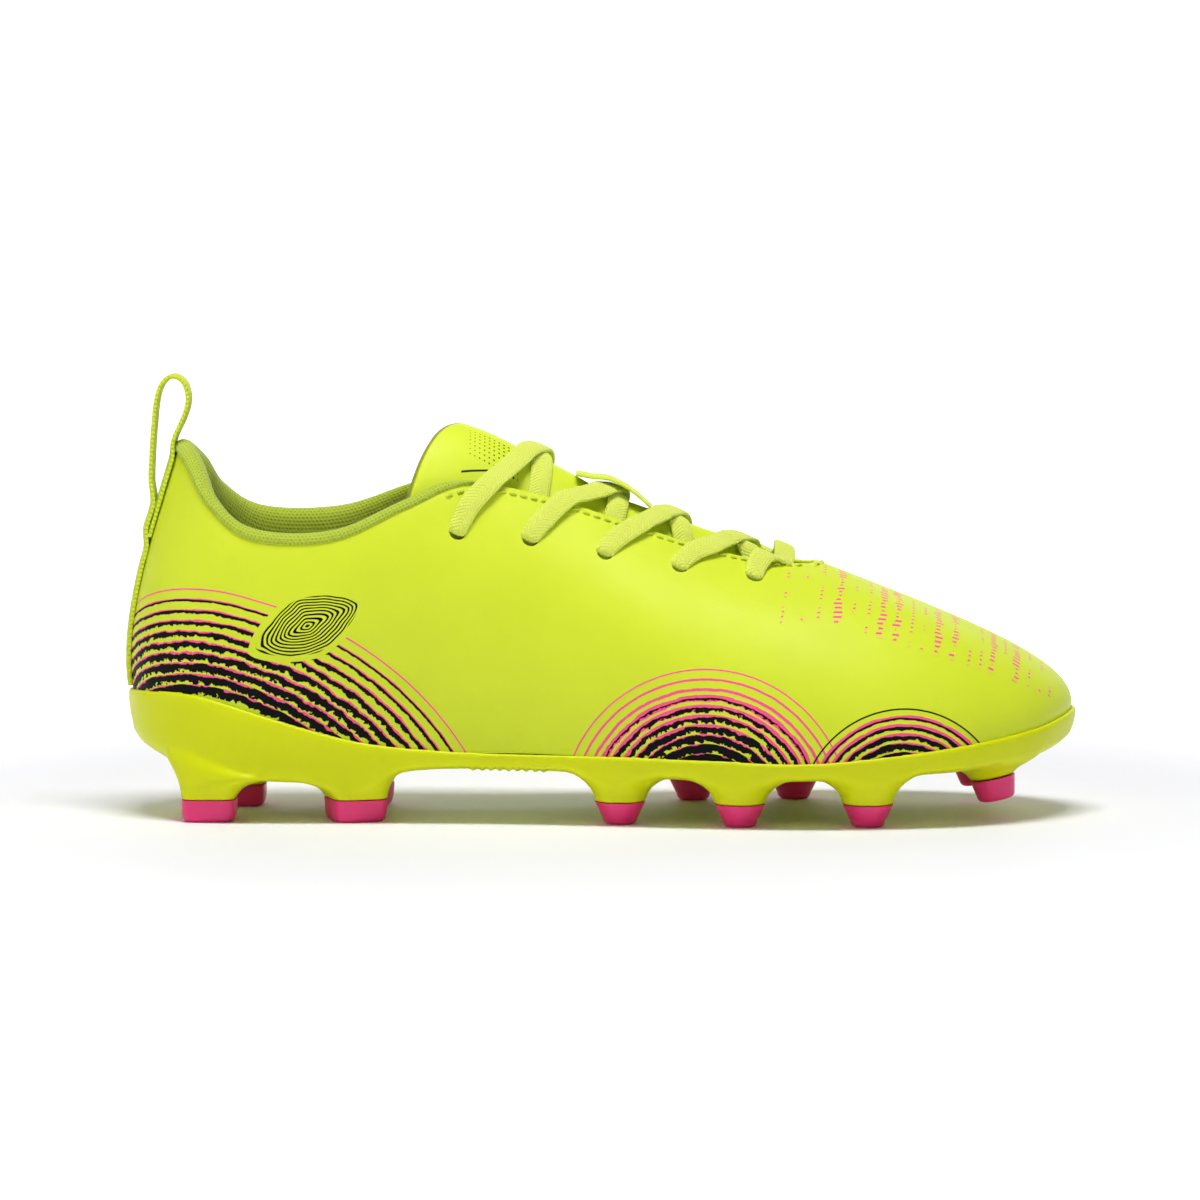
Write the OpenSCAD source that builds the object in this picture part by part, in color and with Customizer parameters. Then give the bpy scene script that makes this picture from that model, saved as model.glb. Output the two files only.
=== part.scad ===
// Firm-ground football boot, right foot, junior size.
// X runs from the heel to the toe, the outer side of the foot is -Y and +Z is up.
// The stud tips stand on z = 0.

/* [Upper] */
// Thickness of the moulded outer skin
skin = 1.2; // [1.0:0.1:1.2]
// Thickness of the lining cloth
lining_thick = 0.6; // [0.4:0.1:0.7]
// Thickness of the heel counter
counter_thick = 1.1; // [0.8:0.1:1.1]
// Thickness of the toe puff
puff_thick = 0.9; // [0.5:0.1:1.1]
// Thickness of the eyelet reinforcement
eyestay_thick = 0.7; // [0.5:0.1:1.0]
// Diameter of a punched eyelet
eyelet_d = 4.2; // [4.0:0.1:4.6]

/* [Tongue] */
// Thickness of the tongue at its free end
tongue_thick = 3.4; // [2.6:0.2:3.6]
// Where the tongue folds over, along X
fold_x = -22; // [-23:0.5:-21]

/* [Laces] */
// Width of the flat lace
lace_w = 4.9; // [4.4:0.1:5.0]
// Thickness of the flat lace
lace_t = 1.2; // [1.0:0.1:1.3]

/* [Pull loop] */
// Width of the webbing
web_w = 10; // [8:0.5:12]
// Thickness of the webbing
web_t = 1.2; // [1.0:0.1:1.3]

/* [Sole] */
// Height of a coloured stud tip
tip_h = 5.6; // [5.0:0.2:6.0]
// How far the sole's rim stands out past the upper
rim_out = 1.2; // [0.8:0.1:1.5]
// Thickness of the removable sockliner
sock_thick = 3.6; // [3.0:0.2:4.0]

/* [Hidden] */

lime = "#DCEB4B";
olive = "#C3CD1E";
pink = "#F0468F";
mesh_green = "#C6DD5F";
board_white = "#E8E6DC";
foam_grey = "#B9BDB4";

// ---- The upper's surface -------------------------------------------------
// Each row is a station round the foot: the point where the skin meets the sole,
// the point at its upper edge, and how the skin leaves both of them:
// [out, up] at the sole and [out, down] at the upper edge.
heel_row = [[-117.5, 0, 31.5], [-106.5, 0, 91], [3, 18], [4.5, 16]];
toe_row = [[119, 4, 26.5], [54.5, 0, 63.6], [1.5, 11], [44, 17]];
lateral_rows = [
    [[-112.5, -15, 32.2], [-103, -10.5, 87.5], [3, 17], [3.5, 14]],
    [[-100, -25, 32], [-97, -19.5, 78], [2.5, 15], [3, 12]],
    [[-81, -28.5, 26.5], [-86, -25, 70], [3, 14], [3, 12]],
    [[-60, -28.3, 20.8], [-66, -27, 69.8], [3.5, 16], [4, 13]],
    [[-38, -28.5, 18.4], [-48, -25, 77.5], [3.5, 18], [6, 14]],
    [[-16, -30.8, 17.8], [-32, -19.5, 83.6], [3.5, 20], [9, 14]],
    [[6, -35, 17.6], [-13, -16, 80.3], [3, 20], [12, 13]],
    [[28, -39.8, 17.2], [6, -14.5, 74.2], [2.5, 19], [14, 12]],
    [[50, -42, 16.6], [25, -13, 68], [2, 18], [16, 11]],
    [[72, -40.6, 18.4], [41, -10.5, 64.2], [2, 16], [19, 10]],
    [[93, -33.5, 21], [51, -6.5, 63.3], [2, 13], [27, 10]],
    [[110, -18.5, 23.8], [54.3, -3, 63.5], [1.8, 12], [37, 13]]
];
medial_rows = [
    [[-112.5, 15, 32.2], [-103, 10.5, 87.5], [3, 17], [3.5, 14]],
    [[-100, 24.5, 32], [-97, 19, 79.5], [2.5, 15], [3, 12]],
    [[-81, 27.2, 26.5], [-86, 24.5, 73], [3, 14], [3, 12]],
    [[-60, 24.8, 20.8], [-66, 26, 73], [5, 17], [4, 13]],
    [[-38, 24, 18.4], [-48, 24.5, 79], [6, 20], [6, 14]],
    [[-16, 26.8, 17.8], [-32, 19.5, 83.6], [6, 21], [9, 14]],
    [[6, 33, 17.6], [-13, 16, 80.3], [4.5, 20], [12, 13]],
    [[28, 39, 17.2], [6, 14.5, 74.2], [3, 19], [14, 12]],
    [[50, 42, 16.6], [25, 13, 68], [2, 18], [16, 11]],
    [[72, 41.2, 18.4], [41, 10.5, 64.2], [2, 16], [19, 10]],
    [[93, 36, 21], [51, 6.5, 63.3], [2, 13], [27, 10]],
    [[110, 23.5, 23.8], [54.3, 3, 63.5], [1.8, 12], [37, 13]]
];
side_count = len(lateral_rows);
rows = concat(
    [heel_row], lateral_rows, [toe_row],
    [for (i = [side_count - 1:-1:0]) medial_rows[i]]
);
loop_len = len(rows);
toe_at = side_count + 1;

// A station or a row number brought into the loop.
function wrap(i) = ((i % loop_len) + loop_len) % loop_len;
// A smooth curve through four neighbouring values, between the middle two.
function smooth4(a, b, c, d, f) =
    0.5 * (2 * b + (c - a) * f + (2 * a - 5 * b + 4 * c - d) * f * f
        + (3 * b - a - 3 * c + d) * f * f * f);
// One column of the station table, read at any place s round the foot.
function column(k, s) =
    let (i = floor(s), f = s - i)
    smooth4(rows[wrap(i - 1)][k], rows[wrap(i)][k], rows[wrap(i + 1)][k], rows[wrap(i + 2)][k], f);
// The same smooth curve through a table of [x, value] pairs.
function along(table, x, i = 0) =
    x >= table[i + 1][0] && i < len(table) - 2 ? along(table, x, i + 1) :
    let (
        p = table[max(i - 1, 0)], a = table[i], b = table[i + 1], q = table[min(i + 2, len(table) - 1)],
        f = min(max((x - a[0]) / (b[0] - a[0]), 0), 1), w = b[0] - a[0],
        m0 = w * (b[1] - p[1]) / (b[0] - p[0]), m1 = w * (q[1] - a[1]) / (q[0] - a[0])
    )
    (2 * f * f * f - 3 * f * f + 1) * a[1] + (f * f * f - 2 * f * f + f) * m0
        + (3 * f * f - 2 * f * f * f) * b[1] + (f * f * f - f * f) * m1;

function unit(v) = v / norm(v);
// The level direction straight out of the foot at station s.
function outward(s) =
    let (d = column(0, s + 0.1) - column(0, s - 0.1))
    unit([d[1], -d[0], 0]);
// A point of the skin's outer face: t is 0 at the sole and 1 at the upper edge.
function meridian(s, t) =
    let (
        b = column(0, s), e = column(1, s), lo = column(2, s), hi = column(3, s), n = outward(s),
        h0 = b + n * lo[0] + [0, 0, lo[1]], h1 = e + n * hi[0] - [0, 0, hi[1]], u = 1 - t
    )
    u * u * u * b + 3 * u * u * t * h0 + 3 * u * t * t * h1 + t * t * t * e;
function skin_normal(s, t) =
    unit(cross(meridian(s + 0.05, t) - meridian(s - 0.05, t), meridian(s, t + 0.02) - meridian(s, t - 0.02)));
function skin_point(s, t, off = 0) = meridian(s, t) + off * skin_normal(s, t);

// ---- The sole's levels -----------------------------------------------------
// Underside of the plate between the studs, along X.
under_table = [[-119, 19], [-112, 16.5], [-100, 12.5], [-80, 10], [-60, 10.6], [-44, 13], [-20, 13.4],
    [0, 12.4], [20, 11.6], [50, 11.6], [72, 12.6], [92, 13.6], [108, 15.2], [121, 19]];
// Top of the plate's floor, along X.
floor_table = [[-119, 21.5], [-110, 18.6], [-90, 15.5], [-60, 15.6], [-20, 16.6], [10, 15.6],
    [50, 15], [80, 16.6],
    [100, 18.2], [112, 19.6], [121, 22]];
function under_z(x) = along(under_table, x);
function floor_z(x) = along(floor_table, x);
// How far below t = 0 the skin runs on, to reach the floor inside the rim.
function tuck_t(s) =
    let (b = column(0, s), lo = column(2, s))
    -(b[2] - floor_z(b[0]) - 1.4) / (3 * lo[1]);

// The place on the meridian that lies a given way down from the upper edge.
function edge_t(s, down) = 1 - down / (3 * norm(column(3, s)));

// ---- Building closed sheets --------------------------------------------------
// A closed solid between two grids of points, outer and inner, both listed row by row.
// With ring = true the last row joins the first.
module slab(outer, inner, ring = false) {
    r = len(outer);
    c = len(outer[0]);
    points = concat([for (row = outer) each row], [for (row = inner) each row]);
    last = ring ? r - 1 : r - 2;
    function o(i, j) = (i % r) * c + j;
    function n(i, j) = r * c + (i % r) * c + j;
    skins = [for (i = [0:last], j = [0:c - 2]) each [
        [o(i, j), o(i, j + 1), o(i + 1, j + 1), o(i + 1, j)],
        [n(i, j), n(i + 1, j), n(i + 1, j + 1), n(i, j + 1)]
    ]];
    edges = [for (i = [0:last]) each [
        [o(i, 0), o(i + 1, 0), n(i + 1, 0), n(i, 0)],
        [o(i + 1, c - 1), o(i, c - 1), n(i, c - 1), n(i + 1, c - 1)]
    ]];
    ends = ring ? [] : [for (j = [0:c - 2]) each [
        [o(0, j + 1), o(0, j), n(0, j), n(0, j + 1)],
        [o(r - 1, j), o(r - 1, j + 1), n(r - 1, j + 1), n(r - 1, j)]
    ]];
    polyhedron(points, concat(skins, edges, ends), convexity = 10);
}

// A tube of constant ring size, swept along rings of points.
module swept(rings, ring = false) {
    r = len(rings);
    c = len(rings[0]);
    last = ring ? r - 1 : r - 2;
    function p(i, j) = (i % r) * c + (j % c);
    walls = [for (i = [0:last], j = [0:c - 1]) each [
        [p(i, j), p(i + 1, j), p(i + 1, j + 1)],
        [p(i, j), p(i + 1, j + 1), p(i, j + 1)]
    ]];
    caps = ring ? [] : [[for (j = [0:c - 1]) p(0, j)], [for (j = [c - 1:-1:0]) p(r - 1, j)]];
    polyhedron([for (row = rings) each row], concat(walls, caps), convexity = 10);
}

// A solid stacked from closed loops round the foot, each given from the heel round
// to the heel again. Its first and last loops are closed across the foot.
module loops(stack) {
    r = len(stack);
    n = len(stack[0]);
    half = n / 2;
    function p(i, j) = i * n + (j % n);
    walls = [for (i = [0:r - 2], j = [0:n - 1]) [p(i, j), p(i + 1, j), p(i + 1, j + 1), p(i, j + 1)]];
    strips = [for (j = [0:half - 1])
        j == 0 ? [0, 1, n - 1] :
        j == half - 1 ? [j, half, n - j] : [j, j + 1, n - j - 1, n - j]];
    bottom = [for (f = strips) [for (k = f) p(0, k)]];
    top = [for (f = strips) [for (k = [len(f) - 1:-1:0]) p(r - 1, f[k])]];
    polyhedron([for (row = stack) each row], concat(walls, bottom, top), convexity = 10);
}

// ---- Sole --------------------------------------------------------------------
// The stations at which every sheet's grid has a row.
step = 1 / 3;
stations = [for (k = [0:loop_len * 3 - 1]) k * step];
// Clearance between two layers that touch.
gap = 0.06;

// A loop under the sole: the bite line moved inward, at a height above the underside.
function under_loop(inset, rise) = [for (s = stations)
    let (q = column(0, s) - outward(s) * inset) [q[0], q[1], under_z(q[0]) + rise]];
// A loop on the rim: the bite line moved outward and part of the way down to the underside.
function rim_loop(out, share) = [for (s = stations)
    let (b = column(0, s), q = b + outward(s) * out) [q[0], q[1], b[2] - share * (b[2] - under_z(b[0]))]];

// Where each stud stands, [x, y].
heel_rear_lateral = [-97.2, -17.5];
heel_front_lateral = [-60.8, -17.5];
heel_rear_medial = [-92, 17];
heel_front_medial = [-60.5, 15.5];
fore_lateral = [[5, -25], [34.5, -31], [66, -31.5]];
fore_medial = [[24, 28], [50, 31]];
toe_lateral = [99, -16];
toe_medial = [97, 21];
// The toe studs follow the toe's upward curve.
toe_lift = 5;
toe_tilt = -12;
// Radius at the plate, at the colour line and at the tip, then half the length
// fore and aft that is left when the front and back are flattened.
heel_rear_size = [11, 7.6, 6.6, 6.8];
heel_front_size = [12, 8.8, 7.6, 7.9];
fore_size = [8.8, 6.3, 4.3, 9];
toe_size = [8, 5.6, 4.8, 9];
// Radius of the bevel round the tip's foot, and how far a root runs up into the plate.
tip_edge = 0.8;
root_sink = 0.8;
stud_across = 40;

// Cuts the front and back of a stud flat.
module flatten(size, high) intersection() {
    children();
    translate([-size[3], -stud_across / 2, -1]) cube([2 * size[3], stud_across, high + 1]);
}
// The tapered root of a stud, from the colour line up into the plate.
module stud_root(at, size, lift = 0, tilt = 0) {
    rise = under_z(at[0]) - lift + root_sink;
    translate([at[0], at[1], lift]) rotate([0, tilt, 0]) hull() {
        flatten(size, tip_h + 1) translate([0, 0, tip_h]) cylinder(r = size[1], h = 0.2, $fn = 32);
        translate([0, 0, rise]) cylinder(r = size[0], h = root_sink / 2, $fn = 32);
    }
}
// The coloured tip that is moulded on below it.
module stud_tip(at, size, lift = 0, tilt = 0) {
    color(pink) translate([at[0], at[1], lift]) rotate([0, tilt, 0]) flatten(size, tip_h)
        rotate_extrude($fn = 48)
            polygon([[0, 0], [size[2] - tip_edge, 0], [size[2], tip_edge], [size[1], tip_h], [0, tip_h]]);
}

module outsole_plate() color(olive) union() {
    loops([
        under_loop(7, 0),
        under_loop(3.4, 1.6),
        rim_loop(rim_out - 0.4, 0.55),
        rim_loop(rim_out, 0.1),
        [for (s = stations) skin_point(s, 0, rim_out * 0.6) + [0, 0, 0.3]],
        [for (s = stations) skin_point(s, 0, gap)],
        [for (s = stations) skin_point(s, tuck_t(s) * 0.6, gap)],
        [for (s = stations) let (q = skin_point(s, tuck_t(s), gap)) [q[0], q[1], floor_z(q[0])]]
    ]);
    stud_root(heel_rear_lateral, heel_rear_size);
    stud_root(heel_front_lateral, heel_front_size);
    stud_root(heel_rear_medial, heel_rear_size);
    stud_root(heel_front_medial, heel_front_size);
    for (at = fore_lateral) stud_root(at, fore_size);
    for (at = fore_medial) stud_root(at, fore_size);
    stud_root(toe_lateral, toe_size, toe_lift, toe_tilt);
    stud_root(toe_medial, toe_size, toe_lift, toe_tilt);
}
module stud_tip_heel_rear_lateral() stud_tip(heel_rear_lateral, heel_rear_size);
module stud_tip_heel_front_lateral() stud_tip(heel_front_lateral, heel_front_size);
module stud_tip_heel_rear_medial() stud_tip(heel_rear_medial, heel_rear_size);
module stud_tip_heel_front_medial() stud_tip(heel_front_medial, heel_front_size);
module stud_tip_fore_lateral_1() stud_tip(fore_lateral[0], fore_size);
module stud_tip_fore_lateral_2() stud_tip(fore_lateral[1], fore_size);
module stud_tip_fore_lateral_3() stud_tip(fore_lateral[2], fore_size);
module stud_tip_fore_medial_1() stud_tip(fore_medial[0], fore_size);
module stud_tip_fore_medial_2() stud_tip(fore_medial[1], fore_size);
module stud_tip_toe_lateral() stud_tip(toe_lateral, toe_size, toe_lift, toe_tilt);
module stud_tip_toe_medial() stud_tip(toe_medial, toe_size, toe_lift, toe_tilt);

// A loop inside the boot, a given height above the plate's floor.
function layer_loop(off, rise) = [for (s = stations)
    let (q = skin_point(s, tuck_t(s), off)) [q[0], q[1], floor_z(q[0]) + rise]];
// The board that the upper is lasted to.
board_thick = 1;
module strobel_board() color(board_white)
    loops([layer_loop(-0.3, gap), layer_loop(-0.3, gap + board_thick)]);

// The sockliner lies on the board. Its rear part lifts about the ball of the foot.
sock_low = gap + board_thick + 0.1;
ball_x = 8;
sock_slit = 0.3;
boot_half = 60;
boot_long = 160;
module sockliner_shape() loops([
    layer_loop(-5, sock_low),
    layer_loop(-5.2, sock_low + sock_thick)
]);
module sockliner_front() color(lime) intersection() {
    sockliner_shape();
    translate([ball_x + sock_slit / 2, -boot_half, 0]) cube([boot_long, 2 * boot_half, boot_half]);
}
module sockliner_rear() color(lime) difference() {
    sockliner_shape();
    translate([ball_x - sock_slit / 2, -boot_half, 0]) cube([boot_long, 2 * boot_half, boot_half]);
}

// ---- Upper -----------------------------------------------------------------------
upper_ts = [0, 0.1, 0.2, 0.3, 0.4, 0.5, 0.6, 0.7, 0.8, 0.88, 0.95, 1];
// A grid of points on the skin, set off from its outer face. With tuck = true it
// starts at the plate's floor.
function sheet(ss, ts, off, tuck = false) = [for (s = ss)
    [for (t = concat(tuck ? [tuck_t(s)] : [], ts)) skin_point(s, t, off)]];

// The eyelets of one side as [station, place on the meridian], from the rear.
eyelet_places = [[5.75, 0.8], [6.72, 0.78], [7.7, 0.8], [8.65, 0.84], [9.7, 0.88]];
eyelet_reach = 3.6;
// The station on the lateral side (side < 0) or its mirror on the medial side.
function on_side(side, s) = side < 0 ? s : loop_len - s;
// Turns +Z to point along a direction.
module aim(v) rotate([0, acos(v[2] / norm(v)), atan2(v[1], v[0])]) children();
module eyelet_cutters() for (side = [-1, 1], e = eyelet_places) {
    s = on_side(side, e[0]);
    translate(skin_point(s, e[1])) aim(skin_normal(s, e[1]))
        translate([0, 0, -eyelet_reach]) cylinder(d = eyelet_d, h = 1.6 * eyelet_reach, $fn = 20);
}

module upper_skin() color(lime) difference() {
    slab(sheet(stations, upper_ts, 0, true), sheet(stations, upper_ts, -skin, true), true);
    eyelet_cutters();
}

lining_out = -skin - counter_thick - 2 * gap;
collar_drop = 17;
collar_front = 5.9;
lining_tuck = 0.9;
// How far up the meridian the lining goes: it stops below the collar's padding.
function lining_top(s) =
    let (
        u = min(s, loop_len - s),
        c = min(max((collar_front - u) / 0.5, 0), 1)
    )
    1 - 0.005 - c * collar_drop / (3 * norm(column(3, s)));
lining_ts = [0, 0.1, 0.2, 0.3, 0.4, 0.5];
lining_shares = [0.35, 0.7, 1];
function lining_sheet(off) = [for (s = stations)
    let (upper = [for (f = lining_shares) 0.5 + (lining_top(s) - 0.5) * f])
    [for (t = concat([tuck_t(s) * lining_tuck], lining_ts, upper)) skin_point(s, t, off)]];
module lining() color(mesh_green) difference() {
    slab(lining_sheet(lining_out), lining_sheet(lining_out - lining_thick), true);
    eyelet_cutters();
}

function arc_stations(from, to, n) = [for (k = [0:n]) from + (to - from) * k / n];
// The stations of the skin's own grid, so that a layer under it stays parallel to it.
function grid_stations(from, to) = [for (k = [round(from / step):round(to / step)]) k * step];
// The stiffener between skin and lining that cups the heel.
counter_ts = [0.1, 0.2, 0.3, 0.4, 0.5];
module heel_counter() color(board_white) {
    ss = grid_stations(-11 / 3, 11 / 3);
    slab(sheet(ss, counter_ts, -skin - gap), sheet(ss, counter_ts, -skin - gap - counter_thick));
}
// The stiffener inside the toe.
puff_ts = [0.1, 0.2, 0.3, 0.4];
module toe_puff() color(board_white) {
    ss = grid_stations(toe_at - 8 / 3, toe_at + 8 / 3);
    slab(sheet(ss, puff_ts, -skin - gap), sheet(ss, puff_ts, -skin - gap - puff_thick));
}
// The reinforcement under each row of eyelets.
eyestay_ts = [0.7, 0.8, 0.88, 0.95, 0.985];
module eyestay(side) color(board_white) difference() {
    ss = side < 0 ? grid_stations(16 / 3, 31 / 3) : grid_stations(loop_len - 31 / 3, loop_len - 16 / 3);
    slab(sheet(ss, eyestay_ts, -skin - gap), sheet(ss, eyestay_ts, -skin - gap - eyestay_thick));
    eyelet_cutters();
}
module eyestay_lateral() eyestay(-1);
module eyestay_medial() eyestay(1);

// ---- Collar ------------------------------------------------------------------------
collar_end = 5.25;
collar_stations = arc_stations(-collar_end, collar_end, 44);
// How full the padding is: 1 round the heel, thinning to the front ends.
function fullness(s) = 0.35 + 0.65 * min(1, (collar_end - abs(s)) / 1.4);
// A point of the collar's section: d inward from the skin's outer face, z up from its edge.
function collar_point(s, d, z) =
    let (q = wrap(s), up = unit(meridian(q, 1) - meridian(q, 0.97)))
    z > 0 ? meridian(q, 1) - skin_normal(q, 0.985) * d + up * z : skin_point(q, edge_t(q, -z), -d);
// Sections are [inward, up] from the inner face of the skin's edge, all the way round.
foam_section = [[0, -15], [1.6, -15], [3.5, -10], [4.1, -5], [3.7, -1.2], [2.8, 0.8], [1.4, 1.3],
    [0.2, 0.4], [0, -2]];
cover_section = [
    [-0.1, 0.4], [0.15, 0.55], [0.5, 1], [1.4, 1.5], [2.9, 0.95], [3.85, -1.1], [4.3, -5], [3.7, -10],
    [1.75, -15.6],
    [2.4, -16], [4.3, -10.2], [4.9, -5], [4.4, -0.8], [3.1, 1.6], [1.3, 2.2], [-0.1, 1.3]
];
collar_in = skin + 2 * gap;
function collar_ring(section, s) = [for (p = section)
    collar_point(s, collar_in + p[0] * fullness(s), p[1] * (p[1] > 0 ? 1 : 0.4 + 0.6 * fullness(s)))];
module collar_foam() color(foam_grey) swept([for (s = collar_stations) collar_ring(foam_section, s)]);
module collar_cover() color(mesh_green) swept([for (s = collar_stations) collar_ring(cover_section, s)]);

// ---- Tongue ------------------------------------------------------------------------
// Height of the tongue's ridge along X, and how sharply it arches down to both sides.
crest_table = [[-56, 101.5], [-46, 101], [-37, 98.9], [-28, 95.8], [-20, 91.9], [-11, 87.6],
    [-5, 84.3], [2.6, 80.1],
    [9, 77.8], [14, 76], [28, 71], [36, 68.4], [44, 64.6], [54, 59.2], [66, 53]];
arch_table = [[-56, 0.056], [-37, 0.06], [-20, 0.078], [-8, 0.07], [4, 0.066], [20, 0.088],
    [38, 0.115], [66, 0.075]];
half_table = [[-56, 20], [-48, 20], [-36, 18.5], [-22, 18], [0, 18.5], [20, 17], [40, 13.5], [66, 10.5]];
thick_table = [[-56, 1], [-22, 1], [0, 0.85], [30, 0.6], [66, 0.45]];
function crest(x) = along(crest_table, x);
function tongue_point(x, y, depth) =
    let (c = along(arch_table, x), n = unit([-(crest(x + 1) - crest(x - 1)) / 2, 2 * c * y, 1]))
    [x, y, crest(x) - c * y * y] - depth * n;
tongue_cols = [-1, -0.85, -0.65, -0.4, -0.15, 0.15, 0.4, 0.65, 0.85, 1];
body_xs = [-14, -8, -3, 1, 5, 9, 14, 21, 28, 35, 42, 50, 58, 66];
// The tongue is thinner along its edges.
edge_share = 0.6;
function tongue_row(x, depth) = [for (v = tongue_cols)
    let (d = depth * along(thick_table, x) * (abs(v) == 1 ? edge_share : 1))
    tongue_point(x, v * along(half_table, x), d)];
// The split from the flap runs back down the sides, behind the top lace.
split_back = 6.2;
split_gap = 2;
slit_ahead = 0.15;
slit_behind = 0.25;
function split_row(depth) = [for (v = tongue_cols)
    tongue_point(fold_x + slit_ahead - split_back * v * v, v * along(half_table, fold_x),
        depth * (abs(v) == 1 ? edge_share : 1))];
module tongue_body() color(lime) slab(
    concat([split_row(0)], [for (x = body_xs) tongue_row(x, 0)]),
    concat([split_row(tongue_thick)], [for (x = body_xs) tongue_row(x, tongue_thick)])
);
// The free end of the tongue, which folds forward. Its rear edge reaches further back down the sides.
flap_back = 14.2;
flap_sweep = 12.5;
flap_steps = [1, 0.93, 0.8, 0.6, 0.4, 0.2, 0];
function flap_row(f, depth) = [for (v = tongue_cols)
    let (
        front = fold_x - slit_behind - (split_back + split_gap) * v * v,
        rear = fold_x - flap_back - flap_sweep * pow(abs(v), 0.8),
        x = front + (rear - front) * f,
        edge = f == 1 || abs(v) == 1 ? edge_share : 1
    )
    tongue_point(x, v * along(half_table, x), depth * edge)];
module tongue_flap() color(lime) slab(
    [for (f = flap_steps) flap_row(f, 0)],
    [for (f = flap_steps) flap_row(f, tongue_thick)]
);
// The strap cut in the tongue that holds the second crossing of the lace.
keeper_table = [[-6, 86.3], [-2, 85.6], [2.6, 85], [8, 82.1], [13, 77.8]];
keeper_half = 6;
keeper_thick = 0.9;
keeper_arch = 0.012;
keeper_xs = [-6, -4, -2, 0, 2.6, 5, 8, 10.5, 13];
function keeper_row(x, depth) = [for (y = [-1, -0.6, -0.2, 0.2, 0.6, 1] * keeper_half)
    [x, y, along(keeper_table, x) - keeper_arch * y * y - depth]];
module lace_keeper() color(lime) slab(
    [for (x = keeper_xs) keeper_row(x, 0)],
    [for (x = keeper_xs) keeper_row(x, keeper_thick)]
);

// ---- Lace ----------------------------------------------------------------------------
under_skin = skin + counter_thick + 2 * gap + lining_thick;
lace_slip = 0.15;
lace_in = under_skin + lace_slip + lace_t / 2;
lace_rest = 0.4 + lace_t / 2;
// Where the lace crosses the ridge of the tongue, from the rear crossing to the front bar.
cross_xs = [-16.6, 2.6, 17.6, 34.5];
bar_x = 44.6;
bar_rise = 3.6;
hole_pinch = 0.6;
// A stop on the lace's way: [point, share of the full width].
function in_hole(side, n, off, pinch) =
    let (e = eyelet_places[n], s = on_side(side, e[0])) [skin_point(s, e[1], off), pinch];
function on_skin(side, n, ds, t, off) = [skin_point(on_side(side, eyelet_places[n][0] + ds), t, off), 1];
function on_tongue(x, y, rise) = [tongue_point(x, y, -rise), 1];
// From inside eyelet n + 1 on one side, across the tongue, into eyelet n on the other.
function crossing(side, n) =
    let (
        e1 = eyelet_places[n + 1], e0 = eyelet_places[n], x = cross_xs[n],
        top = side > 0 ? lace_rest + lace_t + lace_slip : lace_rest,
        edge_y = abs(column(1, e1[0] + 0.16)[1]), edge_x = column(1, e1[0] + 0.16)[0]
    ) [
        on_skin(side, n + 1, 0.1, 0.94, -lace_in - 0.3),
        on_skin(side, n + 1, 0.14, 1, -lace_in - 0.3),
        on_tongue(edge_x - 0.5, side * (edge_y - 4.6), lace_rest),
        on_tongue(x + 1.6, side * 3.4, top + 0.2),
        on_tongue(x - 1.6, -side * 3.4, top + 0.2),
        on_tongue(x - 4.6, -side * (edge_y - 4.8), lace_rest + 2.2),
        on_skin(-side, n, 0.5, 1, lace_rest + 0.35),
        on_skin(-side, n, 0.22, e0[1] + 0.09, lace_rest + 0.2),
        in_hole(-side, n, 0.35, 0.85),
        in_hole(-side, n, -under_skin / 2, hole_pinch),
        in_hole(-side, n, -lace_in - 0.1, 0.8)
    ];
// Half the lace, from the middle of the front bar to the inside of the top eyelet.
function half_lace(side) = concat(
    [
        on_tongue(bar_x, side * 4.6, bar_rise),
        on_skin(side, 4, 0.3, 1, lace_rest + 0.8),
        on_skin(side, 4, 0.12, 0.95, lace_rest + 0.15),
        in_hole(side, 4, 0.35, 0.85),
        in_hole(side, 4, -under_skin / 2, hole_pinch),
        in_hole(side, 4, -lace_in - 0.1, 0.8)
    ],
    crossing(side, 3), crossing(-side, 2), crossing(side, 1), crossing(-side, 0)
);
function backward(list) = [for (i = [len(list) - 1:-1:0]) list[i]];
lace_stops = concat(backward(half_lace(-1)), [on_tongue(bar_x, 0, bar_rise)], half_lace(1));
// The line that the lace's flat side turns about: along the row of eyelets.
lace_ref = unit([1, 0, -0.42]);
lace_smooth = 3;
function lace_at(k, f) =
    let (n = len(lace_stops) - 1, a = lace_stops[max(k - 1, 0)], b = lace_stops[k],
        c = lace_stops[min(k + 1, n)], d = lace_stops[min(k + 2, n)])
    [smooth4(a[0], b[0], c[0], d[0], f), b[1] + (c[1] - b[1]) * f];
lace_line = concat(
    [for (k = [0:len(lace_stops) - 2], j = [0:lace_smooth - 1]) lace_at(k, j / lace_smooth)],
    [lace_stops[len(lace_stops) - 1]]
);
// A flat section across the line at point i, w wide and t thick.
function flat_ring(line, i, w, t, ref) =
    let (
        n = len(line) - 1, d = unit(line[min(i + 1, n)] - line[max(i - 1, 0)]),
        u = unit(ref - (ref * d) * d), v = cross(d, u)
    )
    [for (c = [[1, 1], [-1, 1], [-1, -1], [1, -1]]) line[i] + u * c[0] * w / 2 + v * c[1] * t / 2];
module lace() color(lime) {
    line = [for (p = lace_line) p[0]];
    swept([for (i = [0:len(line) - 1]) flat_ring(line, i, lace_w * lace_line[i][1], lace_t, lace_ref)]);
}

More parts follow.
